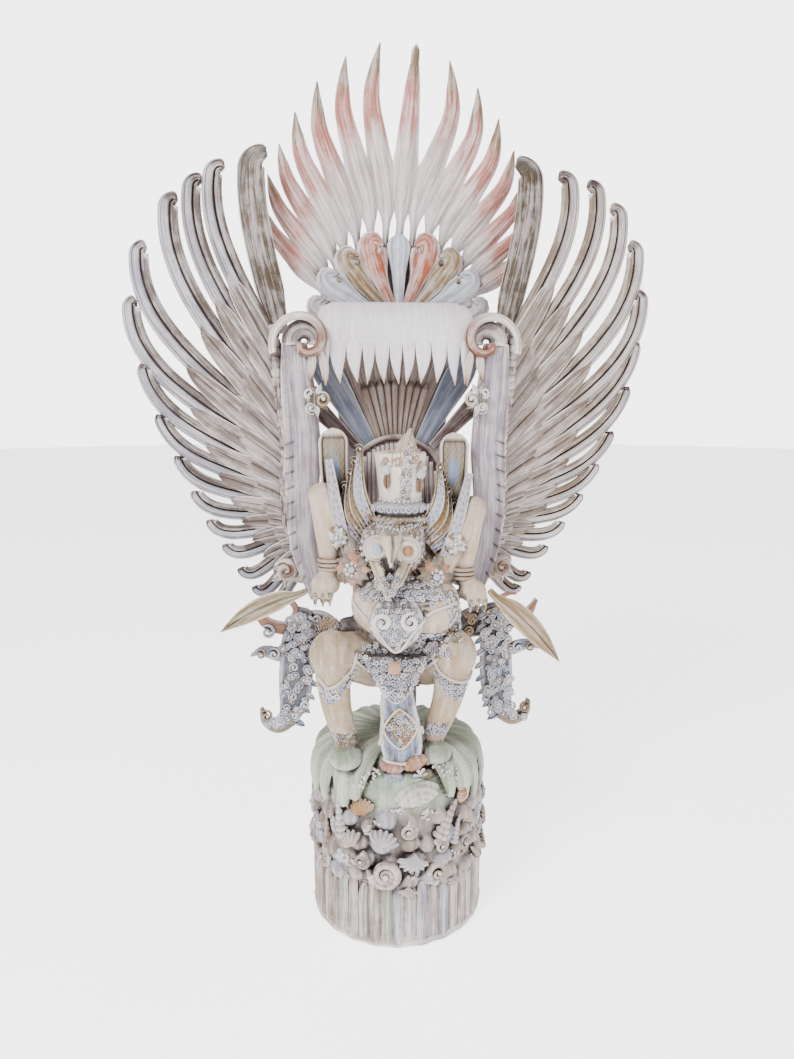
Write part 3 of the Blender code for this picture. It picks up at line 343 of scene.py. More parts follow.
def spread(values, edges, rounds=1):
    """Blurs a value over the points that share edges."""
    counts = np.bincount(edges.ravel(), minlength=len(values))
    for _ in range(rounds):
        total = np.bincount(edges[:, 0], values[edges[:, 1]], len(values))
        total += np.bincount(edges[:, 1], values[edges[:, 0]], len(values))
        values = 0.5 * values + 0.5 * total / np.maximum(counts, 1)
    return values


def mark_edges(mesh):
    """Stores how sharply each point stands out, from -1 in a groove to 1 on an edge."""
    co = points_of(mesh)
    edges, normals = edges_and_normals(mesh)
    a, b = edges.T
    step = co[b] - co[a]
    step /= np.maximum(np.linalg.norm(step, axis=1, keepdims=True), 1e-9)
    out = np.bincount(a, -np.sum(normals[a] * step, axis=1), len(co))
    out += np.bincount(b, np.sum(normals[b] * step, axis=1), len(co))
    counts = np.maximum(np.bincount(edges.ravel(), minlength=len(co)), 1)
    give(mesh, "edge", spread(out / counts, edges) * 2.5)


def piece(mesh, name, node, finish, sharp=50):
    """Makes a finished piece of a mesh: it stands for a solid, which it hides, hangs from the root body and
    has its finish.
    """
    mark_edges(mesh)
    mesh.shade_smooth()
    mesh.set_sharp_from_angle(angle=math.radians(sharp))
    mesh.materials.clear()
    mesh.materials.append(finish)
    made = bpy.data.objects.new(name, mesh)
    bpy.context.collection.objects.link(made)
    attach(made, "root")
    if node:
        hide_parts(node)
    triangles = sum(len(p.vertices) - 2 for p in mesh.polygons)
    print(f"{name}: {triangles} triangles")
    return made


# %% [markdown]
# ## The finish: thin paint, rubbed back
#
# Every surface has the same history: a base colour, a whitish wash that stays in streaks along the grain,
# wear down to pale wood on the edges, and brown dirt in the grooves. Painted shade darkens the grooves and
# hollows further, wherever ambient occlusion finds them hidden. One function makes that finish from
# nodes, and each piece changes its strengths. The grain attribute gives coordinates along and across each
# feather or leaf, so the streaks follow the carving. Shader maths reads better as Python sums, so a small
# class wraps a socket and overloads the operators.

# %% Sockets that can be added up
class Wire:
    """A socket of a material's node tree that takes part in sums."""

    def __init__(self, finish, socket):
        self.finish, self.socket = finish, socket

    def sum_with(self, operation, first, second):
        return self.finish.node("ShaderNodeMath", {"operation": operation}, {0: first, 1: second})

    def __add__(self, other):
        return self.sum_with("ADD", self, other)

    def __radd__(self, other):
        return self.sum_with("ADD", other, self)

    def __sub__(self, other):
        return self.sum_with("SUBTRACT", self, other)

    def __rsub__(self, other):
        return self.sum_with("SUBTRACT", other, self)

    def __mul__(self, other):
        return self.sum_with("MULTIPLY", self, other)

    def __rmul__(self, other):
        return self.sum_with("MULTIPLY", other, self)


class Finish:
    """A material, with one method that adds any node to it."""

    def __init__(self, name):
        self.material = bpy.data.materials.new(name)
        self.material.use_nodes = True
        self.tree = self.material.node_tree
        self.shader = self.tree.nodes["Principled BSDF"]

    def node(self, kind, settings=None, sockets=None, output=0):
        made = self.tree.nodes.new(kind)
        for name, value in (settings or {}).items():
            if name == "stops":
                self.set_stops(made.color_ramp, value)
            else:
                setattr(made, name, value)
        for name, value in (sockets or {}).items():
            self.plug(made.inputs[name], value)
        return Wire(self, made.outputs[output])

    def set_stops(self, ramp, stops):
        while len(ramp.elements) < len(stops):
            ramp.elements.new(0.5)
        for element, (place, colour) in zip(ramp.elements, stops):
            element.position, element.color = place, (*colour, 1)

    def plug(self, socket, value):
        if isinstance(value, Wire):
            self.tree.links.new(value.socket, socket)
        else:
            socket.default_value = value

    def noise(self, where, scale, detail=4.0, roughness=0.55):
        sockets = {"Vector": where, "Scale": scale, "Detail": detail, "Roughness": roughness}
        return self.node("ShaderNodeTexNoise", {"noise_dimensions": "3D"}, sockets)

    def stretch(self, where, amounts):
        return self.node("ShaderNodeVectorMath", {"operation": "MULTIPLY"}, {0: where, 1: amounts})

    def step(self, value, low, high, to_low=0.0, to_high=1.0):
        sockets = {"Value": value, "From Min": low, "From Max": high, "To Min": to_low, "To Max": to_high}
        return self.node("ShaderNodeMapRange", {"interpolation_type": "SMOOTHSTEP"}, sockets)

    def blend(self, share, first, second, how="MIX"):
        settings = {"data_type": "RGBA", "blend_type": how}
        return self.node("ShaderNodeMix", settings, {0: share, 6: first, 7: second}, 2)


# %% The worn paint
def worn_paint(name, wash=0.35, wear=0.5, dirt_and_shade=0.6, flakes=0.0, streaks=1.0, bump=0.5, cross=0.0):
    """Painted wood: a wash in streaks, pale worn edges, dirt and painted shade in grooves, flakes of gold."""
    f = Finish(name)
    paint = f.node("ShaderNodeAttribute", {"attribute_name": "paint"})
    grain = f.node("ShaderNodeAttribute", {"attribute_name": "grain"}, output=1)
    edge = f.node("ShaderNodeAttribute", {"attribute_name": "edge"}, output=2)
    where = f.node("ShaderNodeTexCoord", output=3)
    fibres = f.noise(f.stretch(grain, (22, 620, 37)), 1.0, 5.0, 0.6)
    bands = f.noise(f.stretch(grain, (7, 130, 37)), 1.0, 3.0)
    patches = f.noise(where, 24.0, 6.0, 0.62)
    blots = f.noise(where, 7.0, 3.0)
    specks = f.noise(where, 420.0, 3.0, 0.6)
    # Ambient occlusion paints shade into the colour: hidden places turn darker as painted shade.
    ao_shade = 1 - f.node("ShaderNodeAmbientOcclusion", {"samples": 8}, {"Distance": 0.022}, 1)

    tone = f.step(bands * 0.5 + fibres * 0.5, 0.34, 0.66, 1 - 0.30 * streaks, 1 + 0.20 * streaks)
    colour = f.node("ShaderNodeVectorMath", {"operation": "SCALE"}, {0: paint, "Scale": tone})
    drift = f.step(blots, 0.35, 0.68, 0.0, 0.22)
    colour = f.blend(drift, colour, (*light(0.66, 0.60, 0.56), 1))
    washed = f.step(bands * 0.45 + patches * 0.35 + fibres * 0.35, 0.52, 0.66) * wash
    colour = f.blend(washed, colour, (*light(0.89, 0.87, 0.88), 1))
    if flakes:
        flecks = f.step(f.noise(where, 85.0, 4.0, 0.7) + patches * 0.5, 0.80, 0.90) * flakes
        colour = f.blend(flecks, colour, (*light(0.84, 0.78, 0.60), 1))
    worn = f.step(edge + patches * 0.9 + fibres * 0.5, 1.02, 1.42) * wear
    colour = f.blend(worn, colour, (*light(0.96, 0.93, 0.90), 1))
    # The grime is brown dirt in the grooves together with painted shade from the occlusion above.
    grime_and_shade = f.step(ao_shade * 1.25 - edge * 0.9 + patches * 0.6 + specks * 0.25, 0.60, 1.20) * dirt_and_shade
    colour = f.blend(grime_and_shade, colour, (*light(0.34, 0.27, 0.24), 1))
    dots = f.step(specks + patches * 0.3, 0.76, 0.86) * 0.35
    colour = f.blend(dots, colour, (*light(0.42, 0.36, 0.33), 1))

    relief = fibres * (0.5 * streaks) + bands * 0.3 + patches * 0.5 + specks * 0.12
    if cross:
        weft = f.noise(f.stretch(grain, (560, 14, 3)), 1.0, 3.0)
        relief = relief + weft * cross
        lines = f.step(weft, 0.36, 0.62, 0.12 * cross, 0.0)
        colour = f.blend(lines, colour, (*light(0.60, 0.56, 0.58), 1))
    sockets = {"Strength": bump, "Distance": 0.0012, "Height": relief}
    f.plug(f.shader.inputs["Normal"], f.node("ShaderNodeBump", sockets=sockets))
    f.plug(f.shader.inputs["Base Color"], colour)
    f.plug(f.shader.inputs["Roughness"], f.step(patches + grime_and_shade * 0.5, 0.3, 0.9, 0.62, 0.86))
    f.shader.inputs["Specular IOR Level"].default_value = 0.28
    return f.material


wing_finish = worn_paint("worn_wing_paint", wash=0.35, wear=0.55, dirt_and_shade=0.75, flakes=0.12)
flame_finish = worn_paint("worn_flame_paint", wash=0.45, wear=0.4, dirt_and_shade=0.5, flakes=0.15)
hood_finish = worn_paint("worn_linen_white", wash=0.2, wear=0.35, dirt_and_shade=0.5, streaks=0.5, cross=0.6)
print("finishes:", wing_finish.name, flame_finish.name, hood_finish.name)

# %% [markdown]
# ## The wings
#
# Each wing is one board on the real statue, carved into a fan of long flight feathers that hook inwards at
# their tips, with a row of short coverts over their roots. A twisted rim and a plain panel with a scroll
# divide the feathers from the head. The measures below are hundredths of the wing's height, out from the
# shoulder block and up from the wing's foot, as the solids have them.

# %% The wing's measures
BLOCK_WIDTH = 0.180
WING_HEIGHT = 0.830
WING_FOOT_Z = 0.580
WING_PLANE_Y = 0.086
WING_SWEEP = 0.14
PRIMARIES = 15
PANEL_FRONT = 0.004
PANEL_BACK = 0.078

SPINE = [
    (8.8, 7.6), (11.2, 12.7), (12.9, 19.3), (13.4, 25.5), (13.0, 32.0), (13.2, 40.0), (14.2, 47.5),
    (15.0, 60.0)
]
ROOTS = [
    (0, (14.0, 60.0)), (2, (14.0, 46.4)), (4, (13.2, 34.8)), (7, (13.0, 24.0)), (10, (12.0, 16.0)),
    (14, (8.8, 7.2))
]
RIGHT_TIPS = [
    (16.4, 98.8), (25.2, 96.0), (30.1, 93.3), (35.5, 89.6), (42.6, 79.9), (45.5, 68.5), (44.2, 54.4)
]
RIGHT_TIPS += [
    (41.4, 43.3), (37.9, 34.0), (34.6, 26.0), (31.5, 19.3), (28.2, 13.6), (24.9, 8.0), (21.8, 3.6),
    (19, 0.5)
]
LEFT_TIPS = [
    (16.7, 97.8), (26.4, 95.4), (33.3, 93.9), (39.0, 89.3), (43.7, 81.6), (46.1, 71.0), (46.1, 59.9)
]
LEFT_TIPS += [
    (44.6, 49.5), (41.3, 39.1), (38.1, 31.4), (34.5, 24.3), (30.2, 17.7), (26.3, 12.0), (22.2, 5.8),
    (20, 2.5)
]
TIPS = {-1: list(enumerate(RIGHT_TIPS)), 1: list(enumerate(LEFT_TIPS))}
ROOT_ANGLE = [(0, 80), (1, 68), (2, 63), (3, 57), (4, 50), (5, 43), (7, 34), (10, 26), (14, 20)]
TIP_ANGLE = [(0, 94), (1, 100), (3, 97), (5, 92), (6, 78), (8, 66), (10, 56), (14, 42)]
HOOK_TURN = [(0, 105), (3, 100), (5, 75), (7, 45), (14, 30)]
HOOK_RADIUS = [(0, 2.6), (1, 1.8), (4, 1.5), (6, 1.4), (14, 1.1)]
FEATHER_HALF_WIDTH = [
    (0, 3.0), (1, 2.2), (2, 2.15), (3, 2.3), (4, 2.3), (5, 2.2), (6, 2.0), (8, 1.8), (14, 1.45)
]
FEATHER_TAPER = [(0, 1.0), (0.35, 1.05), (0.55, 1.0), (0.8, 0.80), (0.92, 0.70), (1, 0.45)]
NEIGHBOUR_SHARE = 0.58


def wing_point(side, flat, forward=0.0):
    """Points of the wing's swept face from (out, up) pairs, in front of it by metres."""
    flat = np.asarray(flat, float)
    x = BLOCK_WIDTH / 2 + flat[..., 0] * WING_HEIGHT / 100
    y = WING_PLANE_Y + WING_SWEEP * np.maximum(0, x - BLOCK_WIDTH) - forward
    return np.stack([side * x, y + 0 * x, WING_FOOT_Z + flat[..., 1] * WING_HEIGHT / 100], axis=-1)


def way(degrees):
    """The flat direction at an angle from straight out."""
    a = np.radians(degrees)
    return np.stack([np.cos(a), np.sin(a)], axis=-1)


def neck(side, i):
    """Where feather i's shaft ends and its hook starts, and the directions there."""
    up = way(through(TIP_ANGLE, i))
    inwards = np.array((-up[1], up[0]))
    radius = through(HOOK_RADIUS, i)
    turn = math.radians(min(90, through(HOOK_TURN, i)))
    top = through(TIPS[side], i) - up * 0.6 * through(FEATHER_HALF_WIDTH, i)
    return top - up * radius * math.sin(turn) - inwards * radius * (1 - math.cos(turn)), up, inwards, radius


def shaft(side, i, u):
    """Points on the middle of feather i, u of the way from its root to its hook."""
    root, (end, up) = through(ROOTS, i), neck(side, i)[:2]
    pull = np.linalg.norm(end - root)
    u = np.asarray(u, float)[..., None]
    rise, start, stop = 3 * u**2 - 2 * u**3, u**3 - 2 * u**2 + u, u**3 - u**2
    return root * (1 - rise) + way(through(ROOT_ANGLE, i)) * pull * start + end * rise + up * pull * stop


def hook(side, i, count):
    """The points of the hook that ends feather i."""
    start, up, inwards, radius = neck(side, i)
    a = math.radians(through(HOOK_TURN, i)) * np.linspace(0, 1, count + 1)[1:, None]
    return start + up * radius * np.sin(a) + inwards * radius * (1 - np.cos(a))


def spacing(side, i, u):
    """How far the further of feather i's neighbours lies from it, u of the way out."""
    here = shaft(side, i, u)[:, None]
    gaps = []
    for j in (i - 1, i + 1):
        if 0 <= j <= PRIMARIES - 1:
            gaps.append(np.linalg.norm(shaft(side, j, np.linspace(0, 1, 33)) - here, axis=2).min(axis=1))
    return np.max(gaps, axis=0)


# %% [markdown]
# ### A flight feather
#
# A carved feather has a rounded front with one deep groove for the quill, off the middle, and a finer one
# near its outer edge. The vane towards the head is painted taupe, the other one lavender, the groove and
# the hooked tip maroon. The first feather is broad, smooth and gilded instead.

# %% Flight feathers and coverts
SHAFT_RINGS = 30
HOOK_RINGS = 12
FEATHER_RISE = 0.0105
FEATHER_BACK = 0.006


def feather_line(side, i, reach=1.0):
    """The flat line of a feather and the share of its way along it, for its widths."""
    u = np.linspace(0, reach, SHAFT_RINGS)
    flat = shaft(side, i, u)
    place = u * 4 / 7
    limit = spacing(side, i, u) * NEIGHBOUR_SHARE
    if reach == 1.0:
        flat = np.concatenate([flat, hook(side, i, HOOK_RINGS)])
        place = np.concatenate([place, 4 / 7 + np.linspace(0, 3 / 7, HOOK_RINGS + 1)[1:]])
        limit = np.concatenate([limit, np.full(HOOK_RINGS, 9.0)])
    return flat, place, limit


def flight_feather(carving, side, i):
    """One long feather."""
    flat, place, limit = feather_line(side, i)
    full = through(FEATHER_HALF_WIDTH, i) * through(FEATHER_TAPER, place)
    widths = np.minimum(full, limit) * WING_HEIGHT / 100
    end = np.clip((place - 0.93) / 0.07, 0, 1)
    widths = widths * np.sqrt(np.maximum(1 - end**2.2, 0.012))
    towards_head = -side
    quill, fine = 0.22 * towards_head, -0.62 * towards_head
    gilded = i == 0

    def front(s, t):
        inner = s * towards_head
        shape = 1 - 0.80 * np.abs(s) ** 3.4
        if gilded:
            shape = shape - 0.30 * bell(inner, -0.86, 0.05)
        else:
            shape = shape - 0.62 * bell(s, quill, 0.10) - 0.24 * bell(s, fine, 0.07)
        return FEATHER_RISE * shape + 0.0030 * inner

    line = wing_point(side, flat, 0.0008 * (i % 2))
    shape = slat(line, widths, front, lambda s, t: FEATHER_BACK + 0 * s, across=27, under=5, seed=i * 0.37)
    inner = shape.s * towards_head
    where = np.interp(shape.t, np.linspace(0, 1, len(place)), place)
    tip = ease(0.62, 0.80, where)
    if gilded:
        colour = mixed(light(0.46, 0.39, 0.31), light(0.48, 0.40, 0.27), ease(-0.6, 0.8, inner))
        colour = mixed(colour, PALE, 0.8 * bell(inner, -0.97, 0.07))
        colour = mixed(colour, light(0.45, 0.42, 0.38), 0.6 * tip)
    else:
        cool = light(0.71, 0.70, 0.74) if side < 0 else light(0.77, 0.74, 0.74)
        warm = light(0.53, 0.47, 0.45) if side < 0 else light(0.65, 0.58, 0.51)
        colour = mixed(cool, warm, ease(-0.05, 0.35, inner))
        root = 1 - ease(0.02, 0.30, where)
        colour = mixed(colour, light(0.66, 0.58, 0.50), 0.45 * root)
        groove = bell(shape.s, quill, 0.11) * shape.front
        colour = mixed(colour, light(0.40, 0.29, 0.27), 0.85 * groove)
        colour = mixed(colour, light(0.44, 0.31, 0.30), 0.95 * tip)
        colour = mixed(colour, PALE, 0.5 * bell(inner, -1.0, 0.08) * (1 - tip))
        colour = mixed(colour, UMBER, 0.45 * bell(inner, 0.96, 0.08))
    colour = mixed(colour, light(0.42, 0.36, 0.33), 0.5 * (~shape.front))
    carving.add(shape, colour)


def covert(carving, side, place, reach, spread_out, forward, seed):
    """One short pointed feather over the roots."""
    flat, share, limit = feather_line(side, place, reach)
    full = through(FEATHER_HALF_WIDTH, place) * 1.05 * spread_out
    widths = np.minimum(full, limit * 1.12) * WING_HEIGHT / 100
    t = np.linspace(0, 1, len(flat))
    widths = widths * np.clip(
        through([(0, 0.9), (0.5, 1.0), (0.78, 0.86), (0.92, 0.52), (1, 0.06)], t), 0.05, 2
    )
    towards_head = -side

    def front(s, t):
        shape = 1 - 0.85 * np.abs(s) ** 4 - 0.42 * bell(s, 0.1 * towards_head, 0.09)
        return (forward + 0.0045 * shape) * (1 - 0.45 * ease(0.6, 1.0, t)) + 0.0022 * s * towards_head

    shape = slat(
        wing_point(side, flat), widths, front, lambda s, t: 0.002 + 0 * s, across=19, under=5, seed=seed
    )
    inner = shape.s * towards_head
    base = light(0.70, 0.64, 0.60) if side > 0 else light(0.64, 0.59, 0.57)
    colour = mixed(base, light(0.58, 0.50, 0.42), 0.5 * ease(0.2, 0.9, shape.t))
    colour = mixed(colour, PALE, 0.75 * np.maximum(bell(inner, 0.97, 0.12), 0.6 * bell(inner, -0.97, 0.10)))
    colour = mixed(
        colour, light(0.45, 0.34, 0.30), 0.75 * bell(shape.s, 0.1 * towards_head, 0.10) * shape.front
    )
    tip = ease(0.80, 0.97, shape.t)
    colour = mixed(colour, MAROON if side < 0 else light(0.60, 0.50, 0.40), 0.7 * tip)
    carving.add(shape, colour)


# %% [markdown]
# ### The rim, the panel and its scroll
#
# The rim between coverts and panel is a row of slanting lobes, like a twisted rope. The panel is thick and
# almost plain, with short curved cuts that run in from its outer edge. Its edge rolls over at the top into
# a scroll with an orange-brown curl, and small leaves hang inside the curl.

# %% Rim and panel
RIM_LOBES = {-1: 26, 1: 34}
PANEL_LINE = [(6.6, 2.5), (9.3, 14), (9.6, 26), (9.2, 36), (10.0, 48), (10.6, 57.5)]
PANEL_HALF_WIDTHS = [0.014, 0.022, 0.027, 0.030, 0.032, 0.031, 0.029, 0.022]
PANEL_CUTS = 17


def rim(carving, side):
    """The twisted rim: slanting lobes along the spine, and a plain core behind them."""
    count = RIM_LOBES[side]
    forward = 0.040
    core = smooth_line(wing_point(side, SPINE, forward - 0.004), 60)
    carving.add(tube(core, 0.0075, sides=10, flat=2.6, face=FRONT), light(0.50, 0.42, 0.40))
    line = smooth_line(wing_point(side, SPINE, forward + 0.016), count)
    dark = light(0.52, 0.38, 0.37) if side < 0 else light(0.68, 0.62, 0.62)
    for n, point in enumerate(line):
        size = 0.0105 if side < 0 else 0.0088
        lobe = ball(point, (size, 0.010, size * 1.25), turn=side * (38 if side > 0 else 30), seed=n * 0.1)
        # Each lobe is painted paler on its side towards the head and darker at its foot: painted light and
        # shade that round the lobes of the rope.
        shade = mixed(dark, light(0.74, 0.68, 0.68), ease(-0.2, 0.9, -lobe.s * side) * 0.8)
        carving.add(lobe, mixed(shade, light(0.38, 0.27, 0.26), 0.6 * (1 - ease(0.0, 0.35, lobe.t))))


def panel(carving, side):
    """The thick panel with its cuts."""
    centre = smooth_line(wing_point(side, PANEL_LINE, WING_PLANE_Y - (PANEL_FRONT + PANEL_BACK) / 2), 190)
    knots = [(n / (len(PANEL_HALF_WIDTHS) - 1), w) for n, w in enumerate(PANEL_HALF_WIDTHS)]
    widths = through(knots, np.linspace(0, 1, len(centre)))
    half = (PANEL_BACK - PANEL_FRONT) / 2

    def cuts(s, t):
        outer = -s * -side
        slant = t - 0.030 * (1 - outer) ** 1.3
        phase = (slant * PANEL_CUTS) % 1.0
        shown = ease(0.25, 0.6, outer) * (1 - ease(0.60, 0.72, t)) * ease(0.02, 0.06, t)
        return bell(phase, 0.5, 0.10) * shown

    def front(s, t):
        outer = s * side
        return half - 0.0045 * np.abs(s) ** 5 - 0.003 * bell(outer, 0.1, 0.7) - 0.0032 * cuts(s, t)

    shape = slat(centre, widths, front, lambda s, t: half + 0 * s, across=25, under=5, seed=4.1)
    cut = cuts(shape.s, shape.t) * shape.front
    colour = mixed(light(0.70, 0.67, 0.71), light(0.58, 0.52, 0.52), 0.5 * ease(0.3, 1.0, np.abs(shape.s)))
    colour = mixed(colour, light(0.36, 0.29, 0.29), 0.8 * cut)
    colour = mixed(colour, light(0.55, 0.49, 0.47), 0.7 * (~shape.front))
    carving.add(shape, colour)


def scroll(carving, side):
    """The roll on top of the panel: a pale rim that curls in and down, and ends in an orange-brown eye."""
    forward = WING_PLANE_Y - PANEL_FRONT + 0.004
    centre = np.array((8.6, 57.8))
    turns = np.linspace(-20, 300, 46)
    radius = through([(-20, 6.6), (60, 5.4), (130, 4.6), (200, 3.4), (260, 2.2), (300, 1.5)], turns)
    flat = centre + way(turns) * radius[:, None]
    line = wing_point(side, flat, forward)
    size = through([(0, 0.0035), (0.25, 0.0060), (0.6, 0.0090), (1, 0.0070)], np.linspace(0, 1, len(line)))
    roll = tube(line, size, sides=12, flat=1.5, face=FRONT, seed=2.2)
    carving.add(roll, mixed(light(0.84, 0.80, 0.78), light(0.66, 0.42, 0.30), ease(0.28, 0.62, roll.t)))
    outline = tube(
        wing_point(side, centre + way(turns[:30]) * (radius[:30, None] + 0.7), forward - 0.002), 0.0028,
        sides=8, seed=1.2
    )
    carving.add(outline, light(0.80, 0.77, 0.78))
    carving.add(ball(line[-1], (0.0095, 0.0105, 0.0095)), light(0.70, 0.44, 0.30))
    back = smooth_line(wing_point(side, centre + way(np.linspace(-15, 190, 8)) * 2.7, forward - 0.022), 20)
    carving.add(tube(back, 0.017, sides=12, flat=1.1, face=FRONT), light(0.60, 0.54, 0.54))
    for n, lean in enumerate((-0.9, 0.6)):
        leaf = smooth_line(
            wing_point(
                side, [(6.2 + lean, 56.5), (6.0 + lean * 1.8, 52.5), (6.2 + lean * 2.2, 48.8 + n)],
                forward - 0.004
            ),
            16
        )
        width = through([(0, 0.0035), (0.4, 0.0075), (0.8, 0.0050), (1, 0.0006)], np.linspace(0, 1, 16))
        shape = slat(
            leaf, width, lambda s, t: 0.005 * (1 - s**2) + 0.001, lambda s, t: 0.003 + 0 * s, across=9
        )
        carving.add(shape, mixed(light(0.86, 0.80, 0.76), light(0.80, 0.62, 0.48), ease(0.6, 1.0, shape.t)))


def curl(carving, centre, size, turn, colour, eye, side=1, coils=1.35, thick=0.24, depth=0.006):
    """A carved spiral in the plane of the front, with an eye at its middle."""
    angles = np.linspace(0, coils * 2 * math.pi, int(22 * coils))
    radius = size * (1 - 0.80 * angles / angles[-1])
    x = side * np.cos(angles + turn) * radius
    z = np.sin(angles + turn) * radius
    line = np.asarray(centre) + np.stack([x, -depth * angles / angles[-1], z], axis=1)
    widths = size * thick * through(
        [(0, 0.35), (0.2, 1.0), (0.8, 0.9), (1, 0.7)], np.linspace(0, 1, len(line))
    )
    carving.add(tube(line, widths, sides=8, face=FRONT), colour)
    carving.add(ball(line[-1], size * 0.26, segments=10, rings=6), eye)


def leaf(carving, points, width, colour, edge_colour=None, depth=0.005, across=11, face=FRONT, rings=14):
    """A pointed carved leaf with a vein."""
    line = smooth_line(points, rings)
    t = np.linspace(0, 1, rings)
    widths = width * through([(0, 0.4), (0.25, 0.85), (0.5, 1.0), (0.8, 0.62), (1, 0.05)], t)
    front = lambda s, t: depth * (1 - 0.8 * np.abs(s) ** 2.5 - 0.35 * bell(s, 0, 0.16))
    shape = slat(line, widths, front, lambda s, t: 0.5 * depth + 0 * s, across=across, face=face)
    shade = mixed(
        colour, edge_colour if edge_colour is not None else colour, ease(0.55, 0.95, np.abs(shape.s))
    )
    carving.add(shape, mixed(shade, UMBER, 0.5 * bell(shape.s, 0, 0.14) * shape.front))


def flower_cluster(carving, side):
    """Curls and leaves on the panel's inner edge."""
    centre = wing_point(side, (6.4, 45.8), WING_PLANE_Y + 0.004)
    y = np.array((0, -0.008, 0))
    curl(carving, centre + y + (-0.012 * side, 0, 0.000), 0.0135, 0.4, GOLD, SILVER, side)
    curl(carving, centre + y + (0.010 * side, 0, 0.012), 0.0100, 2.6, SILVER, GOLD, side)
    curl(
        carving, centre + y + (0.006 * side, 0, -0.014), 0.0105, 4.4, light(0.72, 0.66, 0.56), SILVER, side
    )
    carving.add(ball(centre, (0.020, 0.014, 0.024)), light(0.46, 0.40, 0.36))
    for n in range(7):
        a = math.radians(20 + n * 48)
        out = np.array((math.cos(a) * side, -0.35, math.sin(a)))
        tip = centre + out * (0.024, 0.010, 0.030)
        leaf(
            carving, [centre, (centre + tip) / 2 + (0, -0.007, 0), tip], 0.0052,
            (SILVER, GOLD, PALE)[n % 3], depth=0.004
        )


# %% [markdown]
# ### The volute under the wing
#
# Where the wing meets the shoulder the carver left a big curl with a few leaves under it.

# %% Under the wing, and the whole wing
def under_volute(carving, side):
    """The orange-brown curl at the wing's foot, with cream and lavender leaves."""
    centre = np.array((side * 0.190, 0.052, 0.640))
    curl(
        carving, centre + (side * 0.014, -0.012, 0.006), 0.020, 0.5, light(0.64, 0.44, 0.32),
        light(0.72, 0.50, 0.36), side, thick=0.34
    )
    for n, (dx, dz, colour) in enumerate(
        ((0.040, -0.014, LAVENDER), (0.034, 0.010, PALE), (0.016, -0.026, SKIN))
    ):
        tip = centre + (side * dx, -0.004, dz)
        leaf(
            carving, [centre + (0, -0.004, 0), (centre + tip) / 2 + (0, -0.012, 0.006), tip], 0.008, colour,
            PALE
        )
    base = [
        centre + (-side * 0.095, 0.0, 0.0), centre + (-side * 0.03, 0, -0.008),
        centre + (side * 0.006, 0, -0.004)
    ]
    line = smooth_line(base, 16)
    carving.add(
        tube(line, np.linspace(0.022, 0.012, 16), sides=12, flat=1.2, face=FRONT), light(0.72, 0.66, 0.60)
    )


def wing(side, name):
    """One whole wing."""
    carving = Carving()
    for i in range(PRIMARIES):
        flight_feather(carving, side, i)
    for n in range(12):
        covert(carving, side, 1.2 + n * (PRIMARIES - 2.6) / 12, 0.52, 1.0, 0.0125, seed=n * 0.53)
    for n in range(11):
        covert(carving, side, 1.9 + n * (PRIMARIES - 3.4) / 11, 0.30, 0.95, 0.0165, seed=9 + n * 0.61)
    rim(carving, side)
    panel(carving, side)
    scroll(carving, side)
    flower_cluster(carving, side)
    under_volute(carving, side)
    corners = np.array(
        [
            (side * (BLOCK_WIDTH / 2 + 0.0005), 0.026, 0.606),
            (side * (BLOCK_WIDTH / 2 + 0.075), 0.090, 0.704)
        ]
    )
    carving.add(
        ball(corners.mean(axis=0), np.abs(corners[1] - corners[0]) / 2, segments=24, rings=12),
        light(0.58, 0.52, 0.50)
    )
    return piece(carving.mesh(name), name, name.replace("carved_", ""), wing_finish)


wing(-1, "carved_right_wing")
wing(1, "carved_left_wing")

# %% [markdown]
# ## The flame tail
#
# Behind the head stands a fan of flames. Each flame is thin where it leaves the ring of paisleys, swells
# until it touches its neighbours, and swings out to a gilded point. The lower half is whitish, the upper
# half coral. In front of the roots sits a row of paisleys with hooked heads, in silver, coral and gold.

# %% Flames
FLAME_CENTRE = np.array((0.015, 0.155, 1.098))
FLAME_REACH = 0.502
FLAME_SPREAD = 0.285
FLAME_RING = 0.135
FLAME_COUNT = 15
FLAME_HALF_WIDTH = [
    (0, 7), (0.14, 7.5), (0.26, 20), (0.38, 25.5), (0.5, 22), (0.68, 17.5), (0.85, 12), (1, 1.5)
]
FLAME_BEND = [(0, 0), (0.25, -0.012), (0.5, 0.022), (0.74, 0.05), (0.9, 0.026), (1, 0)]


def round_the_fan(degrees, radius, forward=0.0):
    """Points of the fan's plane at an angle from straight up, and at a radius from its centre."""
    a, radius = np.radians(degrees), np.asarray(radius, float)
    return FLAME_CENTRE + np.stack(
        [np.sin(a) * radius, -forward + 0 * radius * a, np.cos(a) * radius], axis=-1
    )


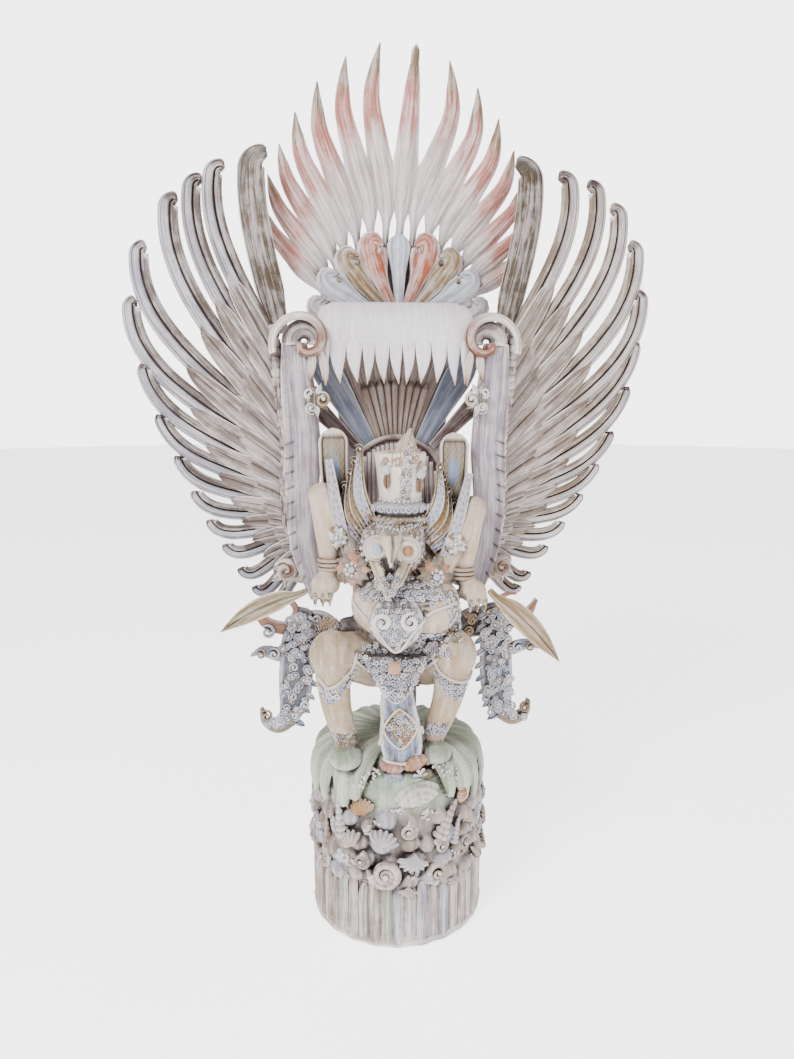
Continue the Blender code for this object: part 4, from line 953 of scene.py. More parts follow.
def flame(carving, k):
    """Flame k, counted from the middle one."""
    lean = 7.6 * k + 3.9
    a = math.radians(lean)
    reach = 1 / math.hypot(math.sin(a) / FLAME_SPREAD, math.cos(a) / FLAME_REACH)
    root, tip = round_the_fan(10.5 * k, FLAME_RING), round_the_fan(lean, reach)
    chord = tip - root
    length = np.linalg.norm(chord)
    inwards = np.cross(FRONT, chord) / length * (1 if k > 0 else -1)
    bend = 1.3 if k > 0 else 1.0 if k < 0 else 0.0
    t = np.linspace(0, 1, 48)
    line = root + chord * t[:, None] - inwards * (length * bend * through(FLAME_BEND, t))[:, None]
    line[:, 1] += 0.0014 * (k % 2)
    slim = min(1.0, length / 0.30)
    widths = through(FLAME_HALF_WIDTH, t) / 1000 * (0.35 + 0.65 * slim)
    if k == 0:
        widths = np.maximum(widths, 0.0078 * np.sqrt(np.clip((1 - t) / 0.03, 0, 1)))
    widths = np.maximum(widths, 0.0008)

    def front(s, t):
        ridge = 1 - np.abs(s) ** 1.5
        lines = 0.10 * np.sin(s * 14 + 3 * k) * (1 - s**2) * ease(0.1, 0.3, t) * (1 - ease(0.7, 0.95, t))
        return 0.0105 * (ridge + lines) * (1 - 0.5 * ease(0.7, 1.0, t)) + 0.001

    shape = slat(
        line, widths, front, lambda s, t: 0.005 * (1 - s**2) + 0.002, across=23, under=7, seed=k * 0.7
    )
    swell = through([(-7, 0.16), (-2, 0.0), (0, -0.02), (2, 0.0), (7, 0.2)], k)
    high = shape.t + 0.05 * np.sin(shape.s * 5 + k * 2.1)
    colour = mixed(light(0.84, 0.81, 0.82), light(0.76, 0.70, 0.66), 0.6 * bell(high, 0.42, 0.16))
    colour = mixed(colour, CORAL, 0.88 * ease(0.50 - swell, 0.64 - swell, high))
    colour = mixed(colour, light(0.62, 0.55, 0.42), 0.92 * ease(0.80, 0.88, high))
    carving.add(shape, mixed(colour, PALE, 0.4 * bell(np.abs(shape.s), 0.97, 0.1)))


# %% Paisleys
PAISLEY_HUES = {0: SILVER, 1: ORANGE, 2: GOLD, 3: SILVER, 4: LAVENDER}


def paisley(carving, k):
    """Paisley k of the row: a fat drop whose head hooks towards the middle of the fan."""
    lean, curl_way = 19.5 * k, (1 if k > 0 else -1)
    hue = light(0.80, 0.50, 0.38) if abs(k) == 1 else PAISLEY_HUES[abs(k)]
    t = np.linspace(0, 1, 40)
    radius = through([(0, 0.030), (0.3, 0.085), (0.6, 0.128), (0.78, 0.150), (0.9, 0.160), (1, 0.146)], t)
    swing = through([(0, 2), (0.3, 3.5), (0.6, 2.0), (0.78, 1.0), (0.9, -2.5), (1, -7.5)], t)
    if k == 0:
        swing = swing * 0
        radius = through([(0, 0.030), (0.5, 0.110), (1, 0.166)], t)
    line = round_the_fan(lean + curl_way * swing, radius, 0.020)
    line[:, 1] -= 0.002 * (k % 2)
    widths = through(
        [(0, 0.008), (0.3, 0.015), (0.62, 0.0275), (0.8, 0.0250), (0.92, 0.0150), (1, 0.003)], t
    )
    if k == 0:
        widths = through([(0, 0.008), (0.4, 0.014), (0.75, 0.0225), (0.92, 0.0160), (1, 0.003)], t)

    def front(s, t):
        rim_height = 0.0035 * bell(np.abs(s), 0.86, 0.12)
        veins = 0.0016 * np.sin(26 * t + 5 * np.abs(s)) * (1 - np.abs(s)) * ease(0.3, 0.5, t)
        return 0.011 * (1 - np.abs(s) ** 4) + rim_height + veins

    shape = slat(line, widths, front, lambda s, t: 0.014 + 0 * s, across=21, under=5, seed=k * 1.3)
    colour = mixed(hue, PALE, 0.55 * bell(np.abs(shape.s), 0.88, 0.12) * shape.front)
    carving.add(
        shape, mixed(colour, light(0.55, 0.46, 0.36), 0.5 * bell(np.abs(shape.s), 0.66, 0.1) * shape.front)
    )
    if k:
        eye = round_the_fan(lean + curl_way * -4.0, 0.138, 0.030)
        carving.add(ball(eye, (0.006, 0.006, 0.006)), light(0.50, 0.38, 0.30))


def tail_flames():
    carving = Carving()
    for k in range(-(FLAME_COUNT // 2), FLAME_COUNT // 2 + 1):
        flame(carving, k)
    for k in (-4, -3, -2, 0, 2, 3, 4, -1, 1):
        paisley(carving, k)
    rings = np.linspace(-180, 180, 73)[:-1]
    board = ball(FLAME_CENTRE, (FLAME_RING + 0.004, 0.008, FLAME_RING + 0.004), segments=64, rings=24)
    carving.add(board, light(0.62, 0.57, 0.55))
    foot = np.array((0.0, 0.1155, 0.55))
    stem = smooth_line([foot, (0, 0.1175, 0.80), (0.009, 0.140, 0.93), FLAME_CENTRE], 40)
    widths = through([(0, 0.045), (0.35, 0.050), (0.65, 0.066), (1, 0.090)], np.linspace(0, 1, 40))
    shape = slat(
        stem, widths, lambda s, t: 0.011 - 0.003 * s**4, lambda s,
        t: 0.012 - 0.003 * s**4 - 0.0016 * np.sin(20 * s), across=15, under=15
    )
    carving.add(
        shape, mixed(light(0.64, 0.58, 0.55), light(0.48, 0.42, 0.39), 0.5 * ease(0.5, 1, np.abs(shape.s)))
    )
    return piece(
        carving.mesh("carved_tail_flames"), "carved_tail_flames", "tail_flames", flame_finish
    )


tail_flames()

# %% [markdown]
# ## The inner tail
#
# A second tail rises between the wings, rolls forward over the head like a hood and ends in a fringe of
# points. It is whitewashed so thinly that the cross grain shows like linen. Under the hood its front is
# carved: a disc behind the crown, a fan of narrow brown feathers, a blue-grey leaf each side, and a dark
# strip outside them.

# %% Hood
BLOCK_FRONT = 0.012
BLOCK_BACK = 0.100
BLOCK_HIGH = 0.720
SEAM = 0.0004
HOOD_WIDTH = 0.274
HOOD_WALL = 0.011
HOOD_LEAN = 0.046
HOOD_ROLL_RADIUS = 0.044
HOOD_TOP_Z = 1.132
FRINGE_LENGTH = 0.074
INNER_FOOT_WIDTH = 0.160
FRINGE_EDGES = [-137, -117, -88, -60, -38, -12, 11, 33, 62, 90, 113, 137]
SHEET_FOOT_Y = (BLOCK_FRONT + BLOCK_BACK) / 2


def hood_path():
    """The middle of the sheet from its foot, up, over the roll and down to where the fringe starts."""
    top = HOOD_TOP_Z - HOOD_WALL / 2
    centre = np.array((0, SHEET_FOOT_Y + HOOD_LEAN - HOOD_ROLL_RADIUS, top - HOOD_ROLL_RADIUS))
    a = np.radians(np.linspace(0, 180, 25))[:, None]
    roll = centre + HOOD_ROLL_RADIUS * (np.cos(a) * (0, 1, 0) + np.sin(a) * (0, 0, 1))
    foot = np.array((0, SHEET_FOOT_Y, BLOCK_HIGH + SEAM + 0.001))
    rise = smooth_line([foot, foot + (0, HOOD_LEAN * 0.5, 0.13), roll[0] - (0, 0, 0.07), roll[0]], 40)
    fall = roll[-1] - np.outer(np.linspace(0.05, 1, 10), (0, 0, 0.024))
    return np.concatenate([rise[:-1], roll, fall]), roll


def hood(carving):
    """The sheet with rounded shoulders, and its fringe."""
    path, roll = hood_path()
    widths = through(
        [(0.720, INNER_FOOT_WIDTH / 2), (0.85, 0.092), (0.98, 0.112), (1.02, 0.130), (1.05, 0.137)],
        np.clip(path[:, 2], 0.72, 1.05)
    )
    widths = np.minimum(widths, HOOD_WIDTH / 2)
    turn = np.clip(np.arange(len(path)) - 39, 0, 24) / 24
    widths = widths - 0.011 * bell(turn, 0.42, 0.26) * (turn > 0)
    half = HOOD_WALL / 2

    def sheet(s, t):
        grooves = 0.0007 * bell((s * 5.5) % 1.0, 0.5, 0.06)
        return half - 0.0025 * np.abs(s) ** 12 - grooves

    shape = slat(
        path, widths, sheet, lambda s, t: half - 0.002 * np.abs(s) ** 8, across=61, under=15, face=None,
        seed=3.0
    )
    grain = shape.grain.copy()
    shape.grain = grain
    tint = mixed(light(0.89, 0.87, 0.89), light(0.82, 0.79, 0.80), ease(0.85, 1.0, np.abs(shape.s)))
    below = 1 - ease(0.42, 0.56, shape.t)
    carving.add(shape, mixed(tint, light(0.62, 0.56, 0.54), 0.75 * below))
    lip = path[-1]
    rng = np.random.default_rng(7)
    for a, b in zip(FRINGE_EDGES, FRINGE_EDGES[1:]):
        middle, half_width = (a + b) / 2000, (b - a) / 2000 * 0.985
        length = FRINGE_LENGTH * (0.93 + 0.07 * rng.random())
        drift = (0.12 + 0.3 * rng.random()) * half_width * (1 if rng.random() > 0.5 else -1)
        points = [
            lip + (middle, 0, 0.002), lip + (middle, -0.001, -length * 0.5),
            lip + (middle + drift, 0, -length)
        ]
        t = np.linspace(0, 1, 26)
        width = half_width * through(
            [(0, 1.0), (0.2, 0.95), (0.45, 0.80), (0.7, 0.50), (0.88, 0.24), (1, 0.03)], t
        )
        tab = slat(
            smooth_line(points, 26), width, lambda s, t: half - 0.0022 * np.abs(s) ** 4, lambda s,
            t: half * 0.8 + 0 * s, across=13, seed=middle * 9
        )
        carving.add(tab, mixed(light(0.89, 0.87, 0.89), light(0.86, 0.76, 0.64), ease(0.72, 0.98, tab.t)))


# %% Under the hood
FAN_Z = 0.800


def sheet_y(z):
    """Where the front of the inner sheet lies at a height."""
    path, _ = hood_path()
    rise = path[:40]
    return np.interp(z, rise[:, 2], rise[:, 1]) - HOOD_WALL / 2


def fan_point(degrees, radius, forward=0.0):
    """Points on the sheet's front at an angle from straight up, round the fan's centre."""
    a, radius = np.radians(degrees), np.asarray(radius, float)
    x, z = 0.003 + np.sin(a) * radius, FAN_Z + np.cos(a) * radius
    return np.stack([x, sheet_y(z) - forward, z], axis=-1)


def fan_slat(
    carving, degrees, near, far, width, rise, colour, tip_colour, end=0.06, forward=0.001, grooves=0.0
):
    """One slat of the fan, with a rounded end."""
    rings = 30
    t = np.linspace(0, 1, rings)
    line = fan_point(degrees, near + (far - near) * t, forward)
    widths = width * np.interp(t, [0, 1], [near / far * 1.15, 1.0]) * np.sqrt(
        np.maximum(1 - (np.clip((t - 1 + end * 2) / (end * 2), 0, 1)) ** 2, 0.02)
    )
    front = lambda s, t: rise * (1 - 0.75 * np.abs(s) ** 3) + grooves * np.cos(s * 18)
    shape = slat(line, widths, front, lambda s, t: 0.003 + 0 * s, across=17, under=5, seed=degrees * 0.13)
    shade = mixed(colour, PALE, 0.55 * bell(np.abs(shape.s), 0.97, 0.10) * shape.front)
    carving.add(shape, mixed(shade, tip_colour, ease(1 - end * 2.4, 1 - end, shape.t)))


def under_hood(carving):
    """Disc, fan, leaves and strips."""
    for side in (-1, 1):
        fan_slat(
            carving, side * 45, 0.10, 0.235, 0.020, 0.004, light(0.50, 0.36, 0.35), light(0.50, 0.36, 0.35)
        )
        fan_slat(
            carving, side * 31, 0.09, 0.290, 0.034, 0.006, light(0.56, 0.60, 0.68), light(0.60, 0.64, 0.72),
            end=0.2, forward=0.003
        )
    for n in range(9):
        fan_slat(
            carving, (n - 4) * 5.1, 0.09, 0.262, 0.0115, 0.007, light(0.66, 0.58, 0.54),
            light(0.74, 0.66, 0.60), forward=0.003
        )
    for n in range(9):
        fan_slat(
            carving, (n - 4) * 4.4, 0.09, 0.196, 0.0084, 0.0125, light(0.70, 0.62, 0.57),
            light(0.42, 0.31, 0.25), forward=0.004, grooves=0.0005
        )
    disc_y = sheet_y(0.812) - 0.008
    disc = ball((0.003, disc_y, 0.803), (0.090, 0.007, 0.090), segments=64, rings=24)
    spokes = light(0.68, 0.62, 0.62)
    edge = np.hypot(disc.s, disc.t * 2 - 1)
    carving.add(disc, mixed(spokes, light(0.50, 0.36, 0.34), ease(0.80, 0.86, edge)))
    around = np.radians(np.linspace(-100, 100, 60))
    rim_line = np.stack(
        [0.003 + np.sin(around) * 0.0885, np.full(60, disc_y - 0.003), 0.803 + np.cos(around) * 0.0885],
        axis=1
    )
    carving.add(tube(rim_line, 0.0052, sides=8, face=FRONT), light(0.52, 0.38, 0.36))
    for n in range(-9, 10):
        x = n * 0.0082
        high = math.sqrt(0.078**2 - x * x)
        line = np.stack(
            [
                np.full(12, 0.003 + x), np.full(12, disc_y - 0.0058),
                np.linspace(0.803 - high * 0.9, 0.803 + high, 12)
            ],
            axis=1
        )
        carving.add(
            tube(line, 0.0034, sides=8, flat=0.8, face=FRONT, seed=n * 0.2), light(0.72, 0.66, 0.66)
        )


def inner_tail():
    carving = Carving()
    hood(carving)
    under_hood(carving)
    return piece(
        carving.mesh("carved_inner_tail"), "carved_inner_tail", "inner_tail", hood_finish
    )


inner_tail()

# %% [markdown]
# ## The trunk
#
# Figure, rock and foot are one trunk. The figure's body is built from balls and limbs in hundredths of its
# own height, measured from the top of the rock, and then melted together. Each part brings its own paint.

# %% The body's measures and limbs
BASE_RADIUS = 0.162
BASE_HEIGHT = 0.335
PLANK_COUNT = 46
FIGURE_HEIGHT = 0.571
FIGURE_GRAIN = 0.0029


def at(x, y, z):
    """A point of the figure."""
    return np.array((x, y, z), float) * FIGURE_HEIGHT / 100 + (0, 0, BASE_HEIGHT)


def share(*lengths):
    """Lengths of the figure."""
    return np.array(lengths, float) * FIGURE_HEIGHT / 100


def limb(carving, points, radii, paint, flat=1.0, sides=18):
    """A round limb through points, with round ends, painted along its way."""
    radii = share(*radii)
    for p, r in ((points[0], radii[0]), (points[-1], radii[-1])):
        carving.add(ball(p, (r, r * flat, r), segments=20, rings=14), paint)
    rings = 12 * len(points)
    widths = through([(n / (len(radii) - 1), r) for n, r in enumerate(radii)], np.linspace(0, 1, rings))
    carving.add(tube(smooth_line(points, rings), widths, sides=sides, flat=flat), paint)


def lump(carving, centre, radii, paint, turn=0.0, axis="Y"):
    """A smooth ball of the figure, in hundredths of its height."""
    carving.add(ball(at(*centre), share(*radii), turn, axis, 28, 18), paint)


# %% [markdown]
# ### Body, legs and arms
#
# The bird-man crouches: thighs rise to knees as high as the hips, forearms hang from raised elbows. Skin is
# a warm beige. Hips, belly and breast are covered with carved cloth, so they are painted blue-grey.

# %% The body
CLOTH = light(0.50, 0.47, 0.50)
WARM_SKIN = light(0.78, 0.70, 0.60)


def trunk_body(carving):
    """Hips, belly, breast, and the block behind the shoulders with its column."""
    lump(carving, (1.4, -3, 31), (16.5, 13, 11), light(0.60, 0.58, 0.64))
    lump(carving, (0.5, -6, 42), (14, 13, 14), light(0.62, 0.56, 0.52))
    lump(carving, (-5.6, -12.6, 48.2), (9.6, 11.4, 9.6), SKIN)
    lump(carving, (8.6, -12.6, 47.4), (9.6, 11.4, 9.8), SKIN)
    lump(carving, (0.8, -12.6, 50.2), (13.4, 12.0, 8.0), CLOTH)
    lump(carving, (-0.5, -4, 58), (15.5, 9.5, 8), SKIN)
    lump(carving, (-2.0, -9, 60), (9, 9, 8), light(0.64, 0.60, 0.60))
    low, high = np.array((-0.080, -0.03, 0.50)), np.array((0.080, 0.092, 0.712))
    carving.add(cushion(low, high), light(0.58, 0.53, 0.50))
    carving.add(
        cushion(np.array((-0.026, -0.02, 0.30)), np.array((0.036, 0.045, 0.53))), light(0.52, 0.46, 0.42)
    )
    carving.add(
        cushion(np.array((-0.108, -0.008, 0.500)), np.array((0.108, 0.036, 0.560))), light(0.44, 0.38, 0.37)
    )


def cushion(low, high):
    """A block with soft edges."""
    shape = ball((low + high) / 2, (high - low) / 2 * 1.0, segments=32, rings=24)
    unit = (shape.points - (low + high) / 2) / ((high - low) / 2)
    power = np.abs(unit) ** 8
    unit /= np.maximum(power.sum(axis=1, keepdims=True) ** (1 / 8), 1e-6)
    shape.points = (low + high) / 2 + unit * (high - low) / 2
    return shape


def leg(carving, hip, knee, shin, ankle):
    """A leg from the hip over the raised knee to the ankle, with cloth over the foot."""
    limb(carving, [at(*hip), at(*knee)], (9.0, 6.6), WARM_SKIN)
    lump(carving, knee, (6.8, 7.0, 7.4), WARM_SKIN)
    limb(carving, [at(*knee), at(*shin), at(*ankle)], (6.2, 4.7, 3.7), WARM_SKIN)
    lump(carving, (ankle[0], ankle[1] - 2, ankle[2] - 5.0), (5.4, 7.4, 3.0), light(0.70, 0.75, 0.67))


def arm(carving, side, shoulder, elbow, wrist, hand):
    """An arm with a raised elbow and a hand of three clawed fingers."""
    limb(carving, [at(*shoulder), at(*elbow)], (5.2, 4.2), SKIN)
    limb(carving, [at(*elbow), at(*wrist)], (4.0, 2.7), SKIN)
    limb(carving, [at(*wrist), at(*hand)], (2.7, 3.0), SKIN)
    lump(carving, hand, (4.4, 4.0, 3.5), SKIN)
    for n in (-1.1, 0.0, 1.1):
        knuckle = np.array(hand) + (side * 0.6 + n * 2.0, -2.4, -0.6)
        bend = knuckle + (side * 0.3, -1.8, -1.6)
        tip = bend + (0, 0.3, -3.4)
        limb(carving, [at(*knuckle), at(*bend)], (1.3, 1.1), SKIN, sides=12)
        limb(carving, [at(*bend), at(*tip)], (1.0, 0.4), light(0.55, 0.50, 0.32), sides=12)


# %% [markdown]
# ### Head, crown and mane
#
# Between two bulging eyes a hooked beak opens over a pointed lower one. The crown flares upwards like a
# bucket. Rounded boards stand behind the head, and patterned bands sweep up beside them.

# %% The head
def head(carving):
    """Skull, brow, eye sockets, and the open beak."""
    lump(carving, (-2.4, -12, 66), (10.0, 11, 9.6), light(0.62, 0.56, 0.52))
    lump(carving, (-2.6, -16, 70.6), (9.4, 6.4, 3.0), light(0.74, 0.68, 0.64))
    for x, z in ((-7.9, 67.2), (1.3, 66.4)):
        lump(carving, (x, -20.0, z), (3.9, 3.4, 3.9), light(0.86, 0.82, 0.78))
    lump(carving, (-3.6, -14, 54.6), (6.2, 8.6, 4.6), light(0.78, 0.70, 0.58))
    cream, mouth_shadow = light(0.86, 0.81, 0.72), light(0.16, 0.11, 0.10)
    limb(
        carving, [at(-3.4, -17, 69.8), at(-3.8, -23.5, 69.0), at(-4.2, -28.6, 66.6), at(-4.4, -30.2, 63.6)],
        (3.3, 2.9, 1.8, 0.5), cream
    )
    limb(
        carving, [at(-8.6, -17, 64.6), at(-7.4, -22.5, 60.4), at(-4.9, -28.6, 54.6)], (1.8, 1.5, 0.8), cream
    )
    limb(
        carving, [at(1.8, -17, 64.0), at(-0.8, -22.5, 60.0), at(-4.7, -28.6, 54.6)], (1.8, 1.5, 0.8), cream
    )
    limb(
        carving, [at(-4.0, -16, 58.4), at(-4.4, -21, 56.6), at(-4.8, -27.6, 54.0)], (3.6, 2.6, 0.8),
        light(0.66, 0.57, 0.42)
    )
    # A near-black lump inside the open beak: painted shadow in the mouth.
    lump(carving, (-4.1, -19.4, 62.2), (3.4, 5.2, 2.6), mouth_shadow)
    t = np.linspace(0, 1, 16)
    floor_line = smooth_line([at(-4.0, -20.5, 60.6), at(-4.4, -24.0, 57.4), at(-4.8, -28.2, 54.6)], 16)
    floor_width = share(1.0)[0] * through([(0, 3.6), (0.5, 3.0), (1, 0.8)], t)
    trough = slat(
        floor_line, floor_width, lambda s, t: 0.004 + 0.0012 * np.cos(11 * s), lambda s, t: 0.006 + 0 * s,
        across=21
    )
    # The trough's valleys are painted darker than its ridges: painted shade in its grooves.
    carving.add(
        trough,
        mixed(light(0.78, 0.70, 0.56), light(0.46, 0.37, 0.26), 0.7 * np.clip(-np.cos(11 * trough.s), 0, 1))
    )


def crown(carving):
    """The flared drum, its lower bands and its peak."""
    t = np.linspace(0, 1, 24)
    line = np.stack([0.2 + 0 * t, -8.8 + 0 * t, 78.5 + 15.6 * t], axis=1)
    line = np.array([at(*p) for p in line])
    carving.add(
        tube(line, share(1.0)[0] * (6.4 + 1.5 * t**1.4), sides=40, face=FRONT), light(0.90, 0.86, 0.82)
    )
    for z, wide, tall, colour in (
        (77.6, 8.9, 2.0, SILVER), (74.4, 9.2, 1.9, light(0.72, 0.66, 0.60)),
        (71.8, 9.4, 1.6, light(0.68, 0.55, 0.40))
    ):
        lump(carving, (-0.2, -9.4, z), (wide, wide * 0.95, tall), colour)
    peak = slat(
        smooth_line([at(0.6, -15.4, 90), at(1.6, -14.4, 95.5), at(2.8, -12.6, 101.2)], 20),
        share(4.2)[0] * through([(0, 0.8), (0.35, 1.0), (1, 0.06)], np.linspace(0, 1, 20)), lambda s,
        t: 0.006 * (1 - s**2) + 0.003, lambda s, t: 0.012 + 0 * s, across=13
    )
    carving.add(peak, light(0.74, 0.64, 0.54))


def tongue_board(carving, side, x, top):
    """The rounded board behind the mane: cream border, dark line, mottled gold, and a pale blue middle."""
    foot = 66
    rings = 50
    t = np.linspace(0, 1, rings)
    line = smooth_line(
        [at(x * 0.80, -3.0, foot), at(x * 0.95, -1.8, (foot + top) / 2), at(x * 0.98, -1.4, top)], rings
    )
    end = np.clip((t - 0.86) / 0.14, 0, 1)
    widths = share(4.7)[0] * np.sqrt(np.maximum(1 - end**2, 0.01)) * (0.82 + 0.18 * t)

    def border(s, t):
        across = np.abs(s)
        beyond = np.clip((t - 0.86) / 0.14, 0, 1)
        return np.maximum(across, 0.55 + 0.45 * beyond * (beyond > 0))

    def front(s, t):
        b = border(s, t)
        return 0.009 + 0.0035 * ease(0.72, 0.84, b) - 0.0035 * ease(0.92, 1.0, b) + 0.004 * bell(b, 0.0, 0.5)

    shape = slat(line, widths, front, lambda s, t: 0.010 + 0 * s, across=31, seed=side * 2.0)
    b = border(shape.s, shape.t)
    mottle = 0.5 + 0.5 * np.sin(shape.s * 23) * np.sin(shape.t * 90 + 4 * shape.s)
    colour = mixed(light(0.60, 0.50, 0.33), light(0.72, 0.69, 0.62), mottle)
    colour = mixed(
        colour, light(0.58, 0.69, 0.82), ease(0.42, 0.24, np.abs(shape.s)) * bell(shape.t, 0.64, 0.12)
    )
    colour = mixed(colour, light(0.40, 0.27, 0.26), bell(b, 0.74, 0.05))
    colour = mixed(colour, light(0.86, 0.81, 0.78), ease(0.79, 0.84, b))
    carving.add(shape, mixed(colour, light(0.60, 0.54, 0.50), 0.6 * (~shape.front)))


def plume(carving, points, widths, depth, colour, veins, edge=PALE, face=FRONT, across=17):
    """A flat band or feather of the mane, with a raised border."""
    rings = 26
    t = np.linspace(0, 1, rings)
    line = smooth_line([at(*p) for p in points], rings)
    half = share(1.0)[0] * through([(n / (len(widths) - 1), w) for n, w in enumerate(widths)], t)

    def front(s, t):
        border = bell(np.abs(s), 0.84, 0.12)
        ribs = np.abs(np.sin(t * veins * math.pi + 2.2 * np.abs(s)))
        return depth * (0.7 + 0.35 * border - 0.6 * ease(0.9, 1.0, np.abs(s)) + 0.3 * ribs * (1 - border))

    shape = slat(line, half, front, lambda s, t: depth + 0 * s, across=across, face=face)
    ribs = np.abs(np.sin(shape.t * veins * math.pi + 2.2 * np.abs(shape.s)))
    shade = mixed(colour, light(0.46, 0.38, 0.36), 0.55 * (1 - ease(0.1, 0.5, ribs)))
    carving.add(shape, mixed(shade, edge, 0.8 * bell(np.abs(shape.s), 0.86, 0.10) * shape.front))


# %% [markdown]
# ### Curls, beads and rosettes
#
# The cloth and jewels of the figure are covered with small scrolls. Each one is a stamp: a spiral ridge with
# a bead in its eye, made once, and set many times on the melted body. A ray from the front finds the place
# and the slope of the surface there, inside an outline drawn in the figure's hundredths.

# %% Stamps
def spiral_stamp(side, coils=1.25, sides=4, rings=13, thick=0.22):
    """A flat spiral of radius 1 and the bead in its eye."""
    turn = np.linspace(0, coils * 2 * math.pi, rings)
    radius = 0.86 * (1 - 0.76 * turn / turn[-1])
    line = np.stack(
        [side * np.cos(turn) * radius, -0.12 - 0.16 * turn / turn[-1], np.sin(turn) * radius], axis=1
    )
    width = thick * through([(0, 0.5), (0.25, 1.0), (1, 0.8)], np.linspace(0, 1, rings))
    return [tube(line, width, sides=sides, face=FRONT), ball(line[-1], 0.26, segments=6, rings=4)]


SPIRALS = {side: spiral_stamp(side) for side in (-1, 1)}
BEAD = [ball((0, -0.2, 0), 1.0, segments=6, rings=4)]


def set_stamp(carving, shapes, place, out, size, turn, paints):
    """Sets a stamp on a surface, facing out from it."""
    out = np.asarray(out) / np.linalg.norm(out)
    high = UP - out * (UP @ out)
    high /= np.linalg.norm(high) + 1e-9
    wide = np.cross(-out, high)
    c, s = math.cos(turn), math.sin(turn)
    spun = np.stack([wide * c + high * s, -out, high * c - wide * s])
    for shape, paint in zip(shapes, paints):
        placed = Shape(
            shape.mesh, shape.points * size @ spun + place, shape.s, shape.t, shape.front,
            shape.grain * size
        )
        placed.grain = placed.grain + np.array((place[0], place[2], 0)) * 0.3
        carving.add(placed, paint)


def inside(outline, points):
    """Which (x, z) points lie inside an outline."""
    outline = np.asarray(outline, float)
    a, b = outline, np.roll(outline, -1, axis=0)
    x, z = points[:, 0, None], points[:, 1, None]
    crosses = (a[:, 1] > z) != (b[:, 1] > z)
    where = (b[:, 0] - a[:, 0]) * (z - a[:, 1]) / np.where(
        b[:, 1] == a[:, 1], 1e-9, b[:, 1] - a[:, 1]
    ) + a[:, 0]
    return (crosses & (x < where)).sum(axis=1) % 2 == 1


COLUMN_FRONT = -0.035


def on_body(tree, x, z):
    """The place and slope of the body behind a point seen from the front, unless only the column is there."""
    start = at(x, 0, z) + FRONT * 0.6
    place, normal, _, _ = tree.ray_cast(Vector(start), Vector(-FRONT))
    if place is None or place.y > COLUMN_FRONT:
        return None, None
    return np.array(place), np.array(normal)


scrolled_outlines = []


def scrollwork(carving, tree, outline, size, hues, seed, gap=0.84):
    """Covers an outline of the body with curls and beads."""
    scrolled_outlines.append(outline)
    rng = np.random.default_rng(seed)
    outline = np.array(outline, float)
    pitch = 2 * size * gap
    low, high = outline.min(axis=0), outline.max(axis=0)
    rows = np.arange(low[1], high[1] + pitch, pitch * 0.866)
    grid = [
        (x + (n % 2) * pitch / 2, z) for n,
        z in enumerate(rows) for x in np.arange(low[0], high[0] + pitch, pitch)
    ]
    grid = np.array(grid) + rng.uniform(-0.12, 0.12, (len(grid), 2)) * size
    radius = share(size)[0]
    for x, z in grid[inside(outline, grid)]:
        place, normal = on_body(tree, x, z)
        if place is None:
            continue
        hue = hues[rng.integers(len(hues))]
        side = 1 if rng.random() > 0.5 else -1
        eye = hues[rng.integers(len(hues))]
        set_stamp(
            carving, SPIRALS[side], place, normal, radius * rng.uniform(0.88, 1.12), rng.uniform(0, 6.28),
            (hue, eye)
        )
        for _ in range(2):
            a = rng.uniform(0, 6.28)
            place, normal = on_body(tree, x + math.cos(a) * size * 1.02, z + math.sin(a) * size * 1.02)
            if place is not None:
                set_stamp(carving, BEAD, place, normal, radius * 0.26, 0, (PALE,))


def shade_between_scrolls(mesh, outlines):
    """Painted shade between the scrolls: the front of the body under them is painted darker."""
    places = (points_of(mesh) - (0, 0, BASE_HEIGHT)) * 100 / FIGURE_HEIGHT
    under = np.zeros(len(places), bool)
    for outline in outlines:
        under |= inside(outline, places[:, [0, 2]])
    under &= edges_and_normals(mesh)[1][:, 1] < -0.1
    layer = mesh.attributes["paint"].data
    paint = np.empty(len(places) * 4, np.float32)
    layer.foreach_get("color", paint)
    paint = paint.reshape(-1, 4)
    # Painted shade: the body's front between the scrolls is darkened towards brown.
    paint[under, :3] = 0.3 * paint[under, :3] + 0.7 * light(0.42, 0.35, 0.32)
    layer.foreach_set("color", paint.ravel())


def beads(carving, tree, line, size, pitch, hue):
    """A row of beads along a line of the body."""
    line = np.array(line, float)
    length = np.linalg.norm(np.diff(line, axis=0), axis=1).sum()
    for x, _, z in smooth_line([(p[0], 0, p[1]) for p in line], max(2, int(length / pitch))):
        place, normal = on_body(tree, x, z)
        if place is not None:
            set_stamp(carving, BEAD, place, normal, share(size)[0], 0, (hue,))


CORD_LEAP = 0.016


def piping(carving, tree, line, size, hue, closed=False):
    """A raised cord along a line of the body, which ends where the body falls away under it."""
    points = [(p[0], 0, p[1]) for p in line] + ([(line[0][0], 0, line[0][1])] if closed else [])
    runs = [[]]
    for x, _, z in smooth_line(points, 10 * len(points)):
        place, normal = on_body(tree, x, z)
        if runs[-1] and (place is None or np.linalg.norm(place - runs[-1][-1]) > CORD_LEAP):
            runs.append([])
        if place is not None:
            runs[-1].append(place + normal * share(size)[0] * 0.4)
    for run in runs:
        if len(run) > 3:
            carving.add(tube(np.array(run), share(size)[0], sides=8), hue)


